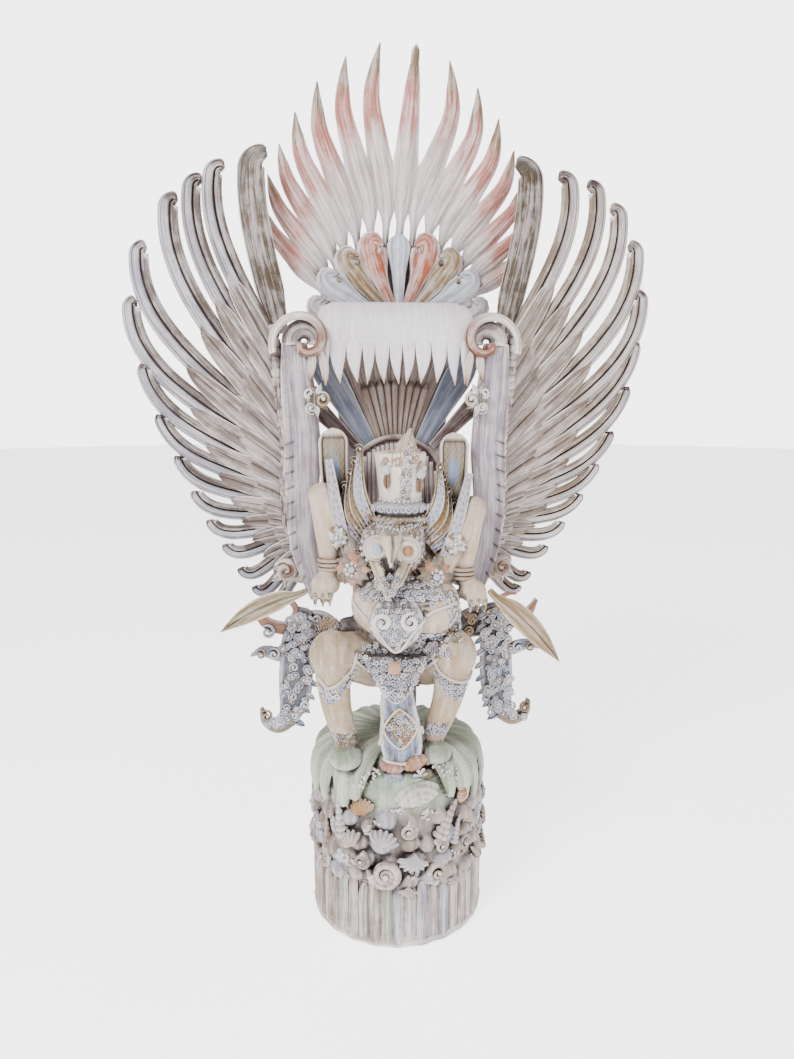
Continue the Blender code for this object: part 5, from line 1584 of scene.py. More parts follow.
def rosette(carving, centre, radius, out, petal_hues, heart_hues):
    """A round jewel: two rings of petals round a beaded heart."""
    petal = [
        slat(
            smooth_line([(0, 0, 0.25), (0, -0.22, 0.65), (0, -0.05, 1.05)], 7),
            0.25 * through([(0, 0.5), (0.55, 1), (1, 0.1)], np.linspace(0, 1, 7)), lambda s,
            t: 0.10 * (1 - s**2) + 0.02, lambda s, t: 0.06 + 0 * s, across=5, under=3
        )
    ]
    for n in range(12):
        set_stamp(
            carving, petal, centre, out, radius, 2 * math.pi * n / 12, (petal_hues[n % len(petal_hues)],)
        )
    for n in range(9):
        set_stamp(
            carving, petal, centre + np.asarray(out) * radius * 0.16, out, radius * 0.70,
            2 * math.pi * (n + 0.5) / 9, (petal_hues[(n + 1) % len(petal_hues)],)
        )
    for n in range(8):
        a = 2 * math.pi * n / 8
        around = np.array((math.cos(a), 0, math.sin(a))) * radius * 0.34
        set_stamp(
            carving, BEAD, centre + around + np.asarray(out) * radius * 0.30, out, radius * 0.13, 0,
            (heart_hues[n % len(heart_hues)],)
        )
    set_stamp(
        carving, BEAD, centre + np.asarray(out) * radius * 0.32, out, radius * 0.22, 0, (heart_hues[0],)
    )


# %% [markdown]
# ### Melting the body
#
# The body's parts become one skin with a voxel remesh, as if cut from one piece of wood. Every point of the
# skin takes its paint from the nearest point of the parts. Two finishes serve the figure: one for smooth skin
# and cloth, and one for the jewels, whose grooves hold more dirt and more painted shade.

# %% The body's skin
BLUES = (SILVER, BLUE, PALE, light(0.70, 0.72, 0.80), light(0.80, 0.79, 0.84))
GOLDS = (GOLD, ORANGE, light(0.74, 0.68, 0.58), SILVER)
figure_finish = worn_paint("worn_body_paint", wash=0.3, wear=0.35, dirt_and_shade=0.7, streaks=0.4, flakes=0.05)
# The jewels' grooves get the most dirt and painted shade.
jewel_finish = worn_paint(
    "worn_jewel_paint", wash=0.1, wear=0.14, dirt_and_shade=1.0, streaks=0.4, flakes=0.1, bump=0.35
)

body_parts = Carving()
trunk_body(body_parts)
leg(body_parts, (-8, -5, 28), (-21.2, -17.2, 34), (-20.2, -17.6, 19), (-17.4, -15.4, 6))
leg(body_parts, (9, -5, 28), (16.2, -17.2, 33), (14.2, -17.0, 19), (10.4, -14.0, 6))
arm(body_parts, -1, (-12, -8, 57), (-23.6, -6.0, 80.6), (-21.4, -11.6, 60.0), (-22.8, -13.8, 54.8))
arm(body_parts, 1, (12, -8, 55), (23.2, -6.0, 76.0), (19.6, -9.6, 55.8), (22.4, -11.4, 51.2))
head(body_parts)
crown(body_parts)
plume(
    body_parts, [(-2.2, -18.6, 33), (-2.3, -21.6, 27), (-2.4, -23.2, 20.4)], (10.5, 7.0, 1.2), 0.010,
    light(0.48, 0.48, 0.54), 3
)
plume(
    body_parts, [(-2.0, -18.5, 26), (-1.0, -19.6, 14), (-0.4, -21.4, 4), (-0.4, -22.6, -1.5)],
    (4.6, 5.6, 6.8, 5.0), 0.010, light(0.60, 0.65, 0.75), 2
)
plume(
    body_parts, [(14.4, -13.6, 52), (15.0, -15.6, 45), (13.4, -16.6, 38), (9, -17, 33)],
    (2.8, 3.2, 3.2, 3.6), 0.009, SILVER, 5
)
plume(
    body_parts, [(-2.4, -24.0, 52), (-2.3, -25.4, 44), (-2.4, -24.2, 36.6)], (5.6, 8.2, 6.6, 0.8), 0.008,
    light(0.50, 0.48, 0.52), 1
)
skin = melted(body_parts, "carved_garuda", FIGURE_GRAIN)
surface = BVHTree.FromPolygons([v.co for v in skin.vertices], [tuple(p.vertices) for p in skin.polygons])
# %% [markdown]
# ### Boards, mane and eyes
#
# The boards behind the head are slats with a border. The mane is a spray of thin ribbed feathers on each
# side, some of which end in a curl, and a patterned band stands before it. The eyes are balls in two rings.

# %% Behind and beside the head
jewels = Carving()
for side, x, top in ((-1, -20.3, 101.0), (1, 18.0, 99.4)):
    tongue_board(jewels, side, x, top)
for side, foot, top in ((-1, (-10, -12, 69), (-19.0, -7.0, 88.4)), (1, (7.6, -12, 67), (19.6, -7.0, 82.6))):
    for n in range(11):
        k = n / 10
        a = np.array(foot) + (side * (6.6 * k - 2.4), 3.0 * k, 3.4 - 9.0 * k)
        b = np.array(top) + (side * (7.2 * k - 7.6), 3.4 * k, 7.0 - 19.0 * k + 2.2 * (n % 2))
        middle = (a + b) / 2 + (side * 2.2, -1.8 - 0.6 * (n % 2), -1.6)
        hue = (light(0.66, 0.55, 0.40), SILVER, light(0.72, 0.68, 0.74), GOLD, LAVENDER)[n % 5]
        plume(
            jewels, [a, middle, b], (1.2, 1.75, 1.2, 0.3), 0.006, hue, 11, edge=light(0.90, 0.86, 0.80),
            across=13
        )
        if n % 2:
            curl(
                jewels, at(*(b + (0, -1.0, -0.8))), share(1.5)[0], 0.6, light(0.56, 0.44, 0.34), PALE, side
            )
    band_top = np.array(top) + (side * 2.2, 1.0, 3.2 if side < 0 else 4.4)
    band_foot = np.array(foot) + (side * 6.0, 1.0, -5.0)
    plume(
        jewels, [band_foot, (band_foot + band_top) / 2 + (side * 0.6, -1, 0), band_top], (1.7, 1.9, 1.2),
        0.007, LAVENDER, 14, across=15
    )

# %% Eyes, ear jewels and armbands
for x, z, hue in ((-7.9, 67.2, SILVER), (1.3, 66.4, light(0.74, 0.56, 0.34))):
    jewels.add(ball(at(x, -22.2, z), share(1.9, 1.9, 1.9), segments=24, rings=16), hue)
    turn = np.linspace(0, 2 * math.pi, 29)
    for ring_radius, thick in ((2.5, 0.5), (3.5, 0.5)):
        line = np.array(
            [
                at(
                    x + math.cos(a) * ring_radius, -22.4 + (ring_radius - 2.5) * 0.9,
                    z + math.sin(a) * ring_radius
                ) for a in turn
            ]
        )
        jewels.add(tube(line, share(thick)[0], sides=8, face=FRONT), light(0.84, 0.80, 0.78))
    for a in turn[::2]:
        set_stamp(
            jewels, BEAD, at(x + math.cos(a) * 4.4, -20.8, z + math.sin(a) * 4.4), FRONT, share(0.6)[0], 0,
            (SILVER,)
        )
rosette(
    jewels, at(-14.4, -16.6, 60.2), share(5.2)[0], np.array((-0.34, -0.94, 0.0)),
    (ORANGE, OLD_GOLD, light(0.58, 0.42, 0.32)), (SILVER, PALE)
)
rosette(
    jewels, at(9.6, -16.4, 57.4), share(5.6)[0], np.array((0.30, -0.95, 0.0)),
    (OLD_GOLD, ORANGE, light(0.62, 0.48, 0.34)), (SILVER, PALE)
)
for x, z in ((-19.2, 68.6), (16.8, 66.0)):
    place, normal = on_body(surface, x, z)
    if place is not None:
        rosette(jewels, place, share(3.4)[0], normal, (SILVER, GOLD, PALE), (PALE, SILVER))

# %% [markdown]
# ### Scrollwork on breast, apron and bands
#
# Outlines are drawn as seen from the front, in the figure's hundredths. Inside them the body is covered with
# curls in silver and blue. A raised cord follows the edges of the cloth.

# %% Breast, pendant and apron
breast = [
    (-14.6, 57.5), (-5, 60), (4, 58), (12, 55.5), (13.0, 51.5), (8.5, 50.5), (4.6, 51.5), (-9.4, 51.5),
    (-12.5, 51.0)
]
scrollwork(jewels, surface, breast, 1.15, BLUES, 11)
piping(
    jewels, surface, [(-14.6, 50.0), (-8.8, 44.0), (-2.4, 37.0), (3.8, 44.6), (9.0, 48.6), (15.0, 49.8)],
    0.45, light(0.86, 0.83, 0.82)
)
pendant = [(-8.6, 50.5), (4.0, 50.5), (4.6, 44.5), (-2.4, 36.8), (-9.4, 44.5)]
scrollwork(jewels, surface, pendant, 0.95, (SILVER, PALE, BLUE), 23)
for x in (-6.4, 1.6):
    place, normal = on_body(surface, x, 46.2)
    if place is not None:
        set_stamp(
            jewels, SPIRALS[1 if x > 0 else -1], place, normal, share(3.3)[0], 1.2,
            (light(0.92, 0.89, 0.89), SILVER)
        )
apron = [
    (-15.0, 35.5), (-7, 36.5), (-2.4, 31.5), (3, 36), (11.0, 35.5), (9.5, 31.5), (4.5, 26), (-2.2, 19.8),
    (-8.5, 26.5), (-13.0, 31.5)
]
scrollwork(jewels, surface, apron, 1.20, BLUES, 12)
piping(
    jewels, surface, [(-14.4, 33.0), (-8.6, 26.6), (-2.2, 19.4), (5.0, 26.0), (10.6, 32.6)], 0.5,
    light(0.84, 0.80, 0.78)
)
scrollwork(jewels, surface, [(5, 41), (13, 40.5), (14.5, 34), (8, 33), (4, 36)], 1.25, BLUES, 13)
scrollwork(
    jewels, surface, [(12.4, 53.5), (16.6, 53.5), (18.0, 44.0), (14.0, 43.4)], 1.05,
    (SILVER, PALE, LAVENDER), 14
)
scrollwork(jewels, surface, [(13.8, 43.0), (18.2, 43.4), (17.6, 37.8), (13.4, 38.2)], 1.25, GOLDS, 15)
jewel_place, jewel_out = on_body(surface, -2.6, 30.6)
set_stamp(jewels, BEAD, jewel_place, jewel_out, share(2.2)[0], 0, (light(0.82, 0.58, 0.36),))

# %% Knee bands, ankle bands and loincloth
for side, band in (
    (
        -1,
        [
            (-25.6, 27.5), (-22.5, 25.0), (-15.2, 30.0), (-14.2, 34.0), (-14.6, 27.6), (-21.8, 19.6),
            (-24.6, 22.0)
        ]
    ),
    (1, [(9.2, 32.0), (11.5, 27.5), (19.0, 25.0), (21.4, 27.0), (19.6, 21.4), (15.4, 19.6), (9.6, 26.4)])
):
    scrollwork(jewels, surface, band, 1.2, BLUES, 16 + side, gap=0.78)
piping(
    jewels, surface, [(-25.2, 28.2), (-22.2, 25.4), (-15.6, 30.0), (-14.0, 34.4)], 0.5,
    light(0.84, 0.79, 0.76)
)
piping(
    jewels, surface, [(9.2, 33.0), (11.6, 28.4), (18.8, 25.6), (21.2, 27.8)], 0.5, light(0.84, 0.79, 0.76)
)
scrollwork(
    jewels, surface, [(-22.0, 9.6), (-13.0, 9.2), (-12.6, 4.6), (-21.6, 5.6)], 1.0, (MAROON, SILVER, GOLD),
    18
)
scrollwork(
    jewels, surface, [(5.2, 11.4), (14.4, 11.8), (14.0, 7.0), (5.6, 6.4)], 1.0, (LAVENDER, SILVER, MAROON),
    19
)
diamond = [(-1.2, 17.6), (4.2, 11.8), (-0.8, 5.4), (-6.0, 11.4)]
scrollwork(jewels, surface, diamond, 1.1, GOLDS, 20)
piping(jewels, surface, diamond, 0.4, light(0.86, 0.80, 0.72), closed=True)
piping(
    jewels, surface,
    [(-6.4, 19.6), (-6.2, 12), (-6.8, 3.6), (-0.6, 0.8), (6.2, 3.4), (5.4, 12), (4.2, 19.6)], 0.5,
    light(0.84, 0.80, 0.76)
)
for x in (-7.6, 6.8):
    piping(jewels, surface, [(x * 0.86, 22), (x * 0.96, 12), (x * 1.12, 0)], 0.75, light(0.56, 0.42, 0.32))

# %% Crown, brow and beak
CROWN_BAND_Z = 77.6
for x in np.linspace(-8, 8, 9):
    place, normal = on_body(surface, x, CROWN_BAND_Z)
    if place is not None:
        set_stamp(
            jewels, SPIRALS[1 if x > 0 else -1], place, normal, share(1.5)[0], 0.6, (SILVER, LAVENDER)
        )
beads(jewels, surface, [(-8.6, 80.2), (0, 79.6), (8.6, 80.2)], 0.5, 1.2, PALE)
beads(jewels, surface, [(-9.0, 75.6), (0, 74.6), (9.0, 75.6)], 0.5, 1.2, GOLD)
beads(jewels, surface, [(-9.2, 73.4), (0, 72.4), (9.2, 73.4)], 0.4, 1.0, PALE)
scrollwork(
    jewels, surface, [(-0.9, 80.5), (2.6, 80.5), (3.6, 92), (3.2, 97.5), (2.2, 97.5), (0.2, 92)], 0.85,
    (SILVER, PALE, light(0.60, 0.50, 0.46)), 21
)
for x, z in ((-4.4, 89.4), (5.6, 88.0)):
    place, normal = on_body(surface, x, z)
    if place is not None:
        for n, (dx, dz, size) in enumerate(((0, 0, 1.7), (-0.9, 1.6, 1.0), (0.9, 1.6, 1.0), (0, 2.6, 1.1))):
            set_stamp(
                jewels, BEAD, place + np.array((share(dx)[0], -0.002, share(dz)[0])), normal,
                share(size)[0], 0, ((SILVER, GOLD)[n % 2],)
            )
        drop = place + np.array((0, -0.004, -share(3.4)[0]))
        leaf(
            jewels, [drop + (0, 0, 0.012), drop, drop - (0, -0.002, 0.014)], share(1.1)[0],
            light(0.62, 0.46, 0.28), GOLD, depth=0.004
        )
scrollwork(
    jewels, surface, [(-11.5, 73.4), (-3, 75), (6.6, 73), (5.5, 70.2), (-3, 71.4), (-10.8, 70.6)], 0.95,
    (light(0.80, 0.74, 0.68), SILVER, GOLD), 22
)
scrollwork(
    jewels, surface, [(-13.0, 66), (-10.4, 62.4), (-8.8, 57.0), (-12.0, 57.0), (-14.4, 62.0)], 0.9, GOLDS,
    24
)
scrollwork(
    jewels, surface, [(6.4, 65.4), (3.4, 61.6), (0.8, 56.6), (5.0, 56.4), (8.6, 61.4)], 0.9, GOLDS, 25
)
piping(jewels, surface, [(-3.5, 71.6), (-3.7, 68.8), (-4.2, 64.6)], 0.42, light(0.56, 0.50, 0.42))
piping(jewels, surface, [(-9.6, 63.6), (-6.6, 57.4), (-4.8, 52.6)], 0.5, light(0.80, 0.74, 0.64))
piping(jewels, surface, [(2.2, 62.6), (-1.6, 56.8), (-4.4, 52.6)], 0.5, light(0.80, 0.74, 0.64))

# %% Wrist rings, and both finished pieces
for (x, z), size in (((-21.3, 60.4), 3.4), ((19.4, 56.4), 3.3)):
    for dz in (-0.9, 0.4, 1.7):
        turn = np.linspace(0, 2 * math.pi, 21)
        y = -11.8 if x < 0 else -9.8
        line = np.array([at(x + math.cos(a) * size, y + math.sin(a) * size, z + dz) for a in turn])
        jewels.add(tube(line, share(0.55)[0], sides=8), light(0.72, 0.62, 0.54))
piece(jewels.mesh("carved_jewels"), "carved_jewels", "figure_on_base", jewel_finish)
# The body between the scrolls gets painted shade.
shade_between_scrolls(skin, scrolled_outlines)
piece(skin, "carved_garuda", "figure_on_base", figure_finish, sharp=70)

# %% [markdown]
# ### Rock, shells and fluted foot
#
# Folds of mint-green cloth hang over the rock's top. Shells and swirls fill the front and run round to the
# back, plainer there. Below stand fluted planks that end in a wavy lip, as if a curtain stood on the floor.

# %% The rock
ROCK_GRAIN = 0.0031


def drum(degrees, z, out=0.0):
    """A point on the drum, at degrees from the front, counted towards the statue's left."""
    a = math.radians(degrees)
    return np.array(
        (math.sin(a) * (BASE_RADIUS - 0.004 + out), -math.cos(a) * (BASE_RADIUS - 0.004 + out), z)
    )


def outwards(degrees):
    """The level way out of the drum at an angle."""
    a = math.radians(degrees)
    return np.array((math.sin(a), -math.cos(a), 0.0))


def fold(carving, degrees, inner, low, width, hue, shade):
    """One fold of cloth that runs from the top's middle over the edge and down."""
    away = outwards(degrees)
    top = BASE_HEIGHT
    points = [
        away * inner + (0, 0, top + 0.006), away * 0.110 + (0, 0, top + 0.006),
        away * 0.146 + (0, 0, top - 0.014), away * 0.157 + (0, 0, top - 0.048), away * 0.155 + (0, 0, low)
    ]
    rings = 34
    t = np.linspace(0, 1, rings)
    line = smooth_line(points, rings)
    widths = width * through([(0, 0.45), (0.4, 0.85), (0.7, 1.0), (1, 0.35)], t)
    side = np.cross(away, UP)
    step = np.gradient(line, axis=0)
    face = np.cross(side, step)
    face /= np.linalg.norm(face, axis=1, keepdims=True)
    shape = slat(
        line, widths, lambda s, t: 0.007 * (1 - s**2) + 0.0014 * np.sin(7 * s + 3 * t), lambda s,
        t: 0.014 + 0 * s, across=21, face=-face if face[5] @ UP < 0 else face
    )
    carving.add(shape, mixed(hue, shade, np.clip(0.75 * np.abs(shape.s) ** 2, 0, 1)))


# %% The rock's skin
rock_parts = Carving()
t = np.linspace(0, 1, 60)
core_line = np.stack([0 * t, 0 * t, 0.090 + 0.245 * t], axis=1)
core_width = through([(0, 0.150), (0.3, 0.152), (0.8, 0.148), (0.93, 0.132), (1, 0.098)], t)
core_shape = tube(core_line, core_width, sides=72, face=FRONT)
rock_parts.add(
    core_shape, mixed(light(0.66, 0.62, 0.60), light(0.70, 0.75, 0.67), ease(0.55, 0.8, core_shape.t))
)
rock_parts.add(ball((0, 0, 0.328), (0.118, 0.118, 0.020), segments=48, rings=16), light(0.70, 0.75, 0.67))
folds = np.arange(-180, 180, 15.0)
for n, degrees in enumerate(folds):
    if -24 < degrees < 24:
        continue
    far = abs(degrees) > 60
    low = 0.235 if far else 0.262
    jitter = 3.0 * math.sin(n * 2.3)
    fold(
        rock_parts, degrees + jitter, 0.03, low - 0.014 * math.sin(n * 1.7),
        0.026 + 0.006 * math.sin(n * 3.1), MINT if n % 3 else light(0.80, 0.83, 0.75),
        light(0.55, 0.52, 0.42)
    )
rng = np.random.default_rng(5)
for row, (z, size) in enumerate(((0.128, 0.021), (0.165, 0.022), (0.203, 0.021), (0.236, 0.018))):
    for n in range(22):
        degrees = n * 360 / 22 + row * 8 + rng.uniform(-4, 4)
        hue = (
            light(0.72, 0.67, 0.66), light(0.76, 0.72, 0.70), light(0.68, 0.62, 0.58),
            light(0.74, 0.73, 0.76)
        )[rng.integers(4)]
        radii = (size * rng.uniform(0.7, 1.15), 0.012, size * rng.uniform(0.6, 1.0))
        lump_shape = ball(np.zeros(3), radii, rng.uniform(-40, 40), segments=16, rings=10)
        spin = np.array(Matrix.Rotation(math.radians(degrees), 3, "Z"))
        lump_shape.points = lump_shape.points @ spin.T + drum(
            degrees, z + rng.uniform(-0.008, 0.008), -0.006
        )
        rock_parts.add(lump_shape, hue)
rock_skin = melted(rock_parts, "shell_rock", ROCK_GRAIN)
rock_finish = worn_paint("worn_rock_paint", wash=0.3, wear=0.45, dirt_and_shade=0.95, streaks=0.6)


# %% Shells
SHOULDER_RADIUS = 0.138
rock_surface = BVHTree.FromPolygons(
    [v.co for v in rock_skin.vertices], [tuple(p.vertices) for p in rock_skin.polygons]
)


def shell_place(degrees, z, out=0.006):
    """The place on the rock at an angle and a height, out from its skin, and the way out there."""
    away = outwards(degrees)
    hit = rock_surface.ray_cast(Vector(away * 0.3 + (0, 0, z)), Vector(-away))[0]
    radius = max(SHOULDER_RADIUS, math.hypot(hit.x, hit.y) if hit else 0)
    return away * (radius + out) + (0, 0, z), away


def clam(carving, degrees, z, size, turn, hue, ribs=9, tall=0.62):
    """A ribbed shell: a fan of ribs from its hinge, bulging in the middle."""
    place, out = shell_place(degrees, z, -0.004)
    shape = ball(np.zeros(3), (1.0, 0.42, tall), segments=36, rings=18)
    x, z_local = shape.points[:, 0], shape.points[:, 2]
    growth = np.hypot(x * 0.9, z_local + tall * 0.9)
    shape.points = shape.points * (1 + 0.035 * np.sin(growth * ribs * math.pi)[:, None])
    # The valleys between the ribs are painted darker: painted shade.
    dark = 0.5 * (1 - ease(-0.6, 0.1, np.sin(growth * ribs * math.pi)))
    set_stamp(carving, [shape], place, out, size, turn, (mixed(hue, light(0.58, 0.53, 0.50), dark),))


def fan_shell(carving, degrees, z, size, turn, hue, ribs=7):
    """A scallop: ribs that spread from a point."""
    place, out = shell_place(degrees, z, -0.002)
    for n in range(ribs):
        a = math.radians((n - (ribs - 1) / 2) * 150 / ribs)
        tip = np.array((math.sin(a), -0.10, math.cos(a)))
        rib = slat(
            smooth_line([(0, -0.1, -0.1), tip * 0.55 + (0, -0.32, 0), tip], 14),
            0.20 * through([(0, 0.3), (0.8, 1.0), (1, 0.4)], np.linspace(0, 1, 14)), lambda s,
            t: 0.12 * (1 - s**2), lambda s, t: 0.12 + 0 * s, across=9
        )
        # Each rib is painted darker towards its edges: painted shade between the ribs.
        set_stamp(
            carving, [rib], place, out, size, turn,
            (mixed(hue, light(0.56, 0.44, 0.34), 0.7 * np.abs(rib.s) ** 3),)
        )


def snail(carving, degrees, z, size, turn, hue, side=1, coils=2.1):
    """A coiled shell whose tube grows outwards."""
    place, out = shell_place(degrees, z, 0.001)
    angles = np.linspace(0, coils * 2 * math.pi, int(26 * coils))
    grow = (angles + 1.0) / (angles[-1] + 1.0)
    line = np.stack(
        [side * np.cos(angles) * 0.72 * grow, -0.42 * (1 - grow), np.sin(angles) * 0.72 * grow], axis=1
    )
    coil = tube(line, 0.30 * grow, sides=12, face=FRONT)
    # Painted growth bands, and painted shade along one side of the coil.
    bands = 0.6 * bell((coil.t * coils * 9) % 1.0, 0.5, 0.16)
    shade = mixed(hue, light(0.52, 0.44, 0.42), np.clip(bands + 0.5 * bell(coil.s, -0.9, 0.4), 0, 1))
    set_stamp(
        carving, [coil, ball(line[0], 0.16, segments=8, rings=6)], place, out, size, turn, (shade, hue)
    )
    # A darker ball in the opening: painted shade inside the shell's mouth.
    mouth_shadow = ball(line[-1] + (0, 0.02, 0), (0.34, 0.30, 0.16), segments=14, rings=8)
    set_stamp(carving, [mouth_shadow], place, out, size, turn, (light(0.56, 0.46, 0.42),))


def turret(carving, degrees, z, size, turn, hue, rings=7):
    """A long screw shell."""
    place, out = shell_place(degrees, z, 0.001)
    t = np.linspace(0, 1, 8 * rings)
    line = np.stack([0 * t, -0.1 + 0 * t, -1 + 2 * t], axis=1)
    width = 0.34 * (1 - 0.86 * t) * (1 + 0.20 * np.abs(np.sin(t * rings * math.pi)))
    body = tube(line, width, sides=14, face=FRONT)
    # The grooves between the whorls are painted darker: painted shade.
    dark = 0.6 * (1 - np.abs(np.sin(body.t * rings * math.pi)))
    set_stamp(carving, [body], place, out, size, turn, (mixed(hue, light(0.52, 0.46, 0.44), dark),))


def bead_patch(carving, degrees, z, width, height, turn, seed, hues=BLUES, size=0.0036):
    """A cushion of small curls on the drum."""
    rng = np.random.default_rng(seed)
    for n in range(int(width * height / (size * size * 3.0))):
        u, v = rng.uniform(-1, 1, 2)
        if u * u + v * v > 1:
            continue
        x, y = u * width / 2, v * height / 2
        c, s = math.cos(turn), math.sin(turn)
        place, out = shell_place(
            degrees + math.degrees((x * c - y * s) / BASE_RADIUS), z + x * s + y * c, 0.0008
        )
        set_stamp(
            carving, SPIRALS[1 if rng.random() > 0.5 else -1], place, out, size, rng.uniform(0, 6.28),
            (hues[rng.integers(len(hues))], PALE)
        )


# %% [markdown]
# ### Where the shells lie
#
# The places are read from the photograph as angles round the drum and heights. Small cushions of curls fill
# what is left between them. Round the sides and the back, where nothing is seen, they are strewn at random.

# %% Shells in their places
shells = Carving()
clam(shells, 9, 0.286, 0.040, 0.20, light(0.84, 0.84, 0.80), ribs=8, tall=0.52)
fan_shell(shells, -27, 0.252, 0.026, 0.4, light(0.78, 0.62, 0.38), ribs=8)
snail(shells, 2, 0.228, 0.019, 1.0, light(0.76, 0.70, 0.68))
snail(shells, -12, 0.148, 0.034, 2.6, light(0.80, 0.74, 0.72), side=-1, coils=2.4)
snail(shells, 22, 0.138, 0.026, 0.3, light(0.80, 0.75, 0.68), coils=1.7)
clam(shells, 42, 0.270, 0.017, 1.3, light(0.82, 0.56, 0.38), ribs=4, tall=0.8)
turret(shells, 29, 0.236, 0.036, -0.55, light(0.80, 0.74, 0.72))
turret(shells, 36, 0.212, 0.026, -0.35, light(0.78, 0.75, 0.76))
turret(shells, -44, 0.236, 0.036, 0.2, light(0.80, 0.76, 0.78))
fan_shell(shells, -14, 0.204, 0.028, -0.3, light(0.76, 0.72, 0.74), ribs=7)
fan_shell(shells, 6, 0.180, 0.030, 2.9, light(0.76, 0.75, 0.78), ribs=7)
fan_shell(shells, -32, 0.196, 0.026, 0.7, light(0.70, 0.66, 0.62), ribs=6)
fan_shell(shells, 46, 0.214, 0.026, -0.8, light(0.80, 0.70, 0.66), ribs=6)
snail(shells, -27, 0.168, 0.019, 0.9, light(0.70, 0.64, 0.62))
snail(shells, 46, 0.170, 0.022, 2.0, light(0.76, 0.68, 0.64), side=-1)
snail(shells, 24, 0.190, 0.018, 2.0, light(0.80, 0.76, 0.74))
clam(shells, -50, 0.150, 0.019, 0.2, light(0.78, 0.80, 0.84), ribs=3, tall=0.9)
clam(shells, -8, 0.314, 0.019, 0.15, light(0.66, 0.70, 0.78), ribs=5, tall=0.6)
clam(shells, -9, 0.333, 0.021, -0.2, light(0.80, 0.58, 0.46), ribs=4, tall=0.5)
clam(shells, 9, 0.340, 0.022, 0.4, light(0.78, 0.60, 0.42), ribs=5, tall=0.6)
clam(shells, 18, 0.312, 0.016, -0.3, light(0.62, 0.56, 0.48), ribs=4, tall=0.8)
turret(shells, -59, 0.190, 0.030, 0.1, light(0.72, 0.66, 0.62), rings=6)
fan_shell(shells, 2, 0.122, 0.018, 3.0, light(0.74, 0.70, 0.70), ribs=5)
fan_shell(shells, 34, 0.122, 0.017, 2.7, light(0.72, 0.68, 0.68), ribs=5)
bead_patch(shells, -25, 0.316, 0.052, 0.026, 0.6, 31, hues=BLUES + (light(0.82, 0.72, 0.72),))
bead_patch(shells, 30, 0.322, 0.056, 0.024, -0.5, 32, hues=BLUES + (PALE,))
bead_patch(shells, 12, 0.322, 0.030, 0.018, 0.0, 33)
for n, (degrees, z, wide, tall, turn) in enumerate(
    (
        (-20, 0.226, 0.040, 0.026, 0.8), (16, 0.250, 0.034, 0.020, 0.3), (-38, 0.160, 0.030, 0.026, 0.0),
        (6, 0.150, 0.030, 0.030, 0.0), (34, 0.156, 0.030, 0.030, 0.4), (-4, 0.262, 0.034, 0.016, 0.2),
        (-52, 0.210, 0.030, 0.030, 0.0), (56, 0.200, 0.030, 0.036, 0.0)
    )
):
    bead_patch(shells, degrees, z, wide, tall, turn, 50 + n, hues=BLUES + (light(0.78, 0.70, 0.64),))

# %% Shells round the sides and the back
STREWN_SHELLS = 34
rng = np.random.default_rng(41)
for n in range(STREWN_SHELLS):
    degrees = 58 + n * 244 / STREWN_SHELLS + rng.uniform(-3, 3)
    z, hue = 0.130 + 0.036 * (n % 3) + rng.uniform(-0.006, 0.006), (
        light(0.76, 0.71, 0.69), light(0.70, 0.65, 0.62), light(0.74, 0.74, 0.77)
    )[n % 3]
    maker = (snail, fan_shell, turret)[rng.integers(3)]
    maker(shells, degrees, z, rng.uniform(0.020, 0.027), rng.uniform(-1.2, 1.2), hue)
piece(rock_skin, "shell_rock", "figure_on_base", rock_finish, sharp=70)
piece(shells.mesh("rock_shells"), "rock_shells", "figure_on_base", rock_finish)

# %% [markdown]
# ### The fluted foot
#
# Planks with rounded faces stand side by side round the drum. Their tops curl in under the shells, and two
# wavy cords close them at the floor.

# %% The planks
foot = Carving()
foot_core = tube(
    np.stack([np.zeros(12), np.zeros(12), np.linspace(0.0, 0.122, 12)], axis=1), 0.1525, sides=92,
    face=FRONT
)
# The dark core shows between the planks as painted shade in their grooves.
foot.add(foot_core, light(0.48, 0.43, 0.40))
for n in range(PLANK_COUNT):
    degrees = (n + 0.5) * 360 / PLANK_COUNT
    away = outwards(degrees)
    lift = 0.006 * math.sin(n * 1.9)
    points = [
        away * 0.1545 + (0, 0, 0.010), away * 0.1550 + (0, 0, 0.060), away * 0.1548 + (0, 0, 0.104 + lift),
        away * 0.1490 + (0, 0, 0.122 + lift)
    ]
    rings = 16
    half = math.pi * 0.155 / PLANK_COUNT * 0.97
    width = half * through([(0, 1), (0.75, 1), (0.93, 0.8), (1, 0.35)], np.linspace(0, 1, rings))
    plank = slat(
        smooth_line(points, rings), width, lambda s,
        t: 0.0055 * (1 - np.abs(s) ** 3.0) + 0.0006 * np.sin(5 * s + n), lambda s, t: 0.004 + 0 * s,
        across=13, face=away, seed=n * 0.41
    )
    hue = (
        light(0.76, 0.72, 0.70), light(0.70, 0.65, 0.60), light(0.69, 0.70, 0.73), light(0.74, 0.69, 0.65),
        light(0.71, 0.71, 0.66)
    )[int(n * 2.6) % 5]
    # Each plank is painted darker at its edges and at its curled top: painted shade between the planks and
    # under the shells.
    foot.add(
        plank,
        mixed(
            hue, light(0.50, 0.43, 0.39),
            np.clip(0.55 * bell(np.abs(plank.s), 1.0, 0.2) + 0.3 * ease(0.9, 1.0, plank.t), 0, 1)
        )
    )
around = np.linspace(0, 2 * math.pi, 181)
for radius, z, thick, hue in (
    (0.1555, 0.0088, 0.0062, light(0.78, 0.75, 0.73)), (0.1530, 0.0170, 0.0040, light(0.70, 0.66, 0.64))
):
    wave = 0.0022 * np.sin(around * 23)
    line = np.stack(
        [np.sin(around) * (radius + 0.4 * wave), -np.cos(around) * (radius + 0.4 * wave), z + wave], axis=1
    )
    foot.add(tube(line, thick, sides=10), hue)
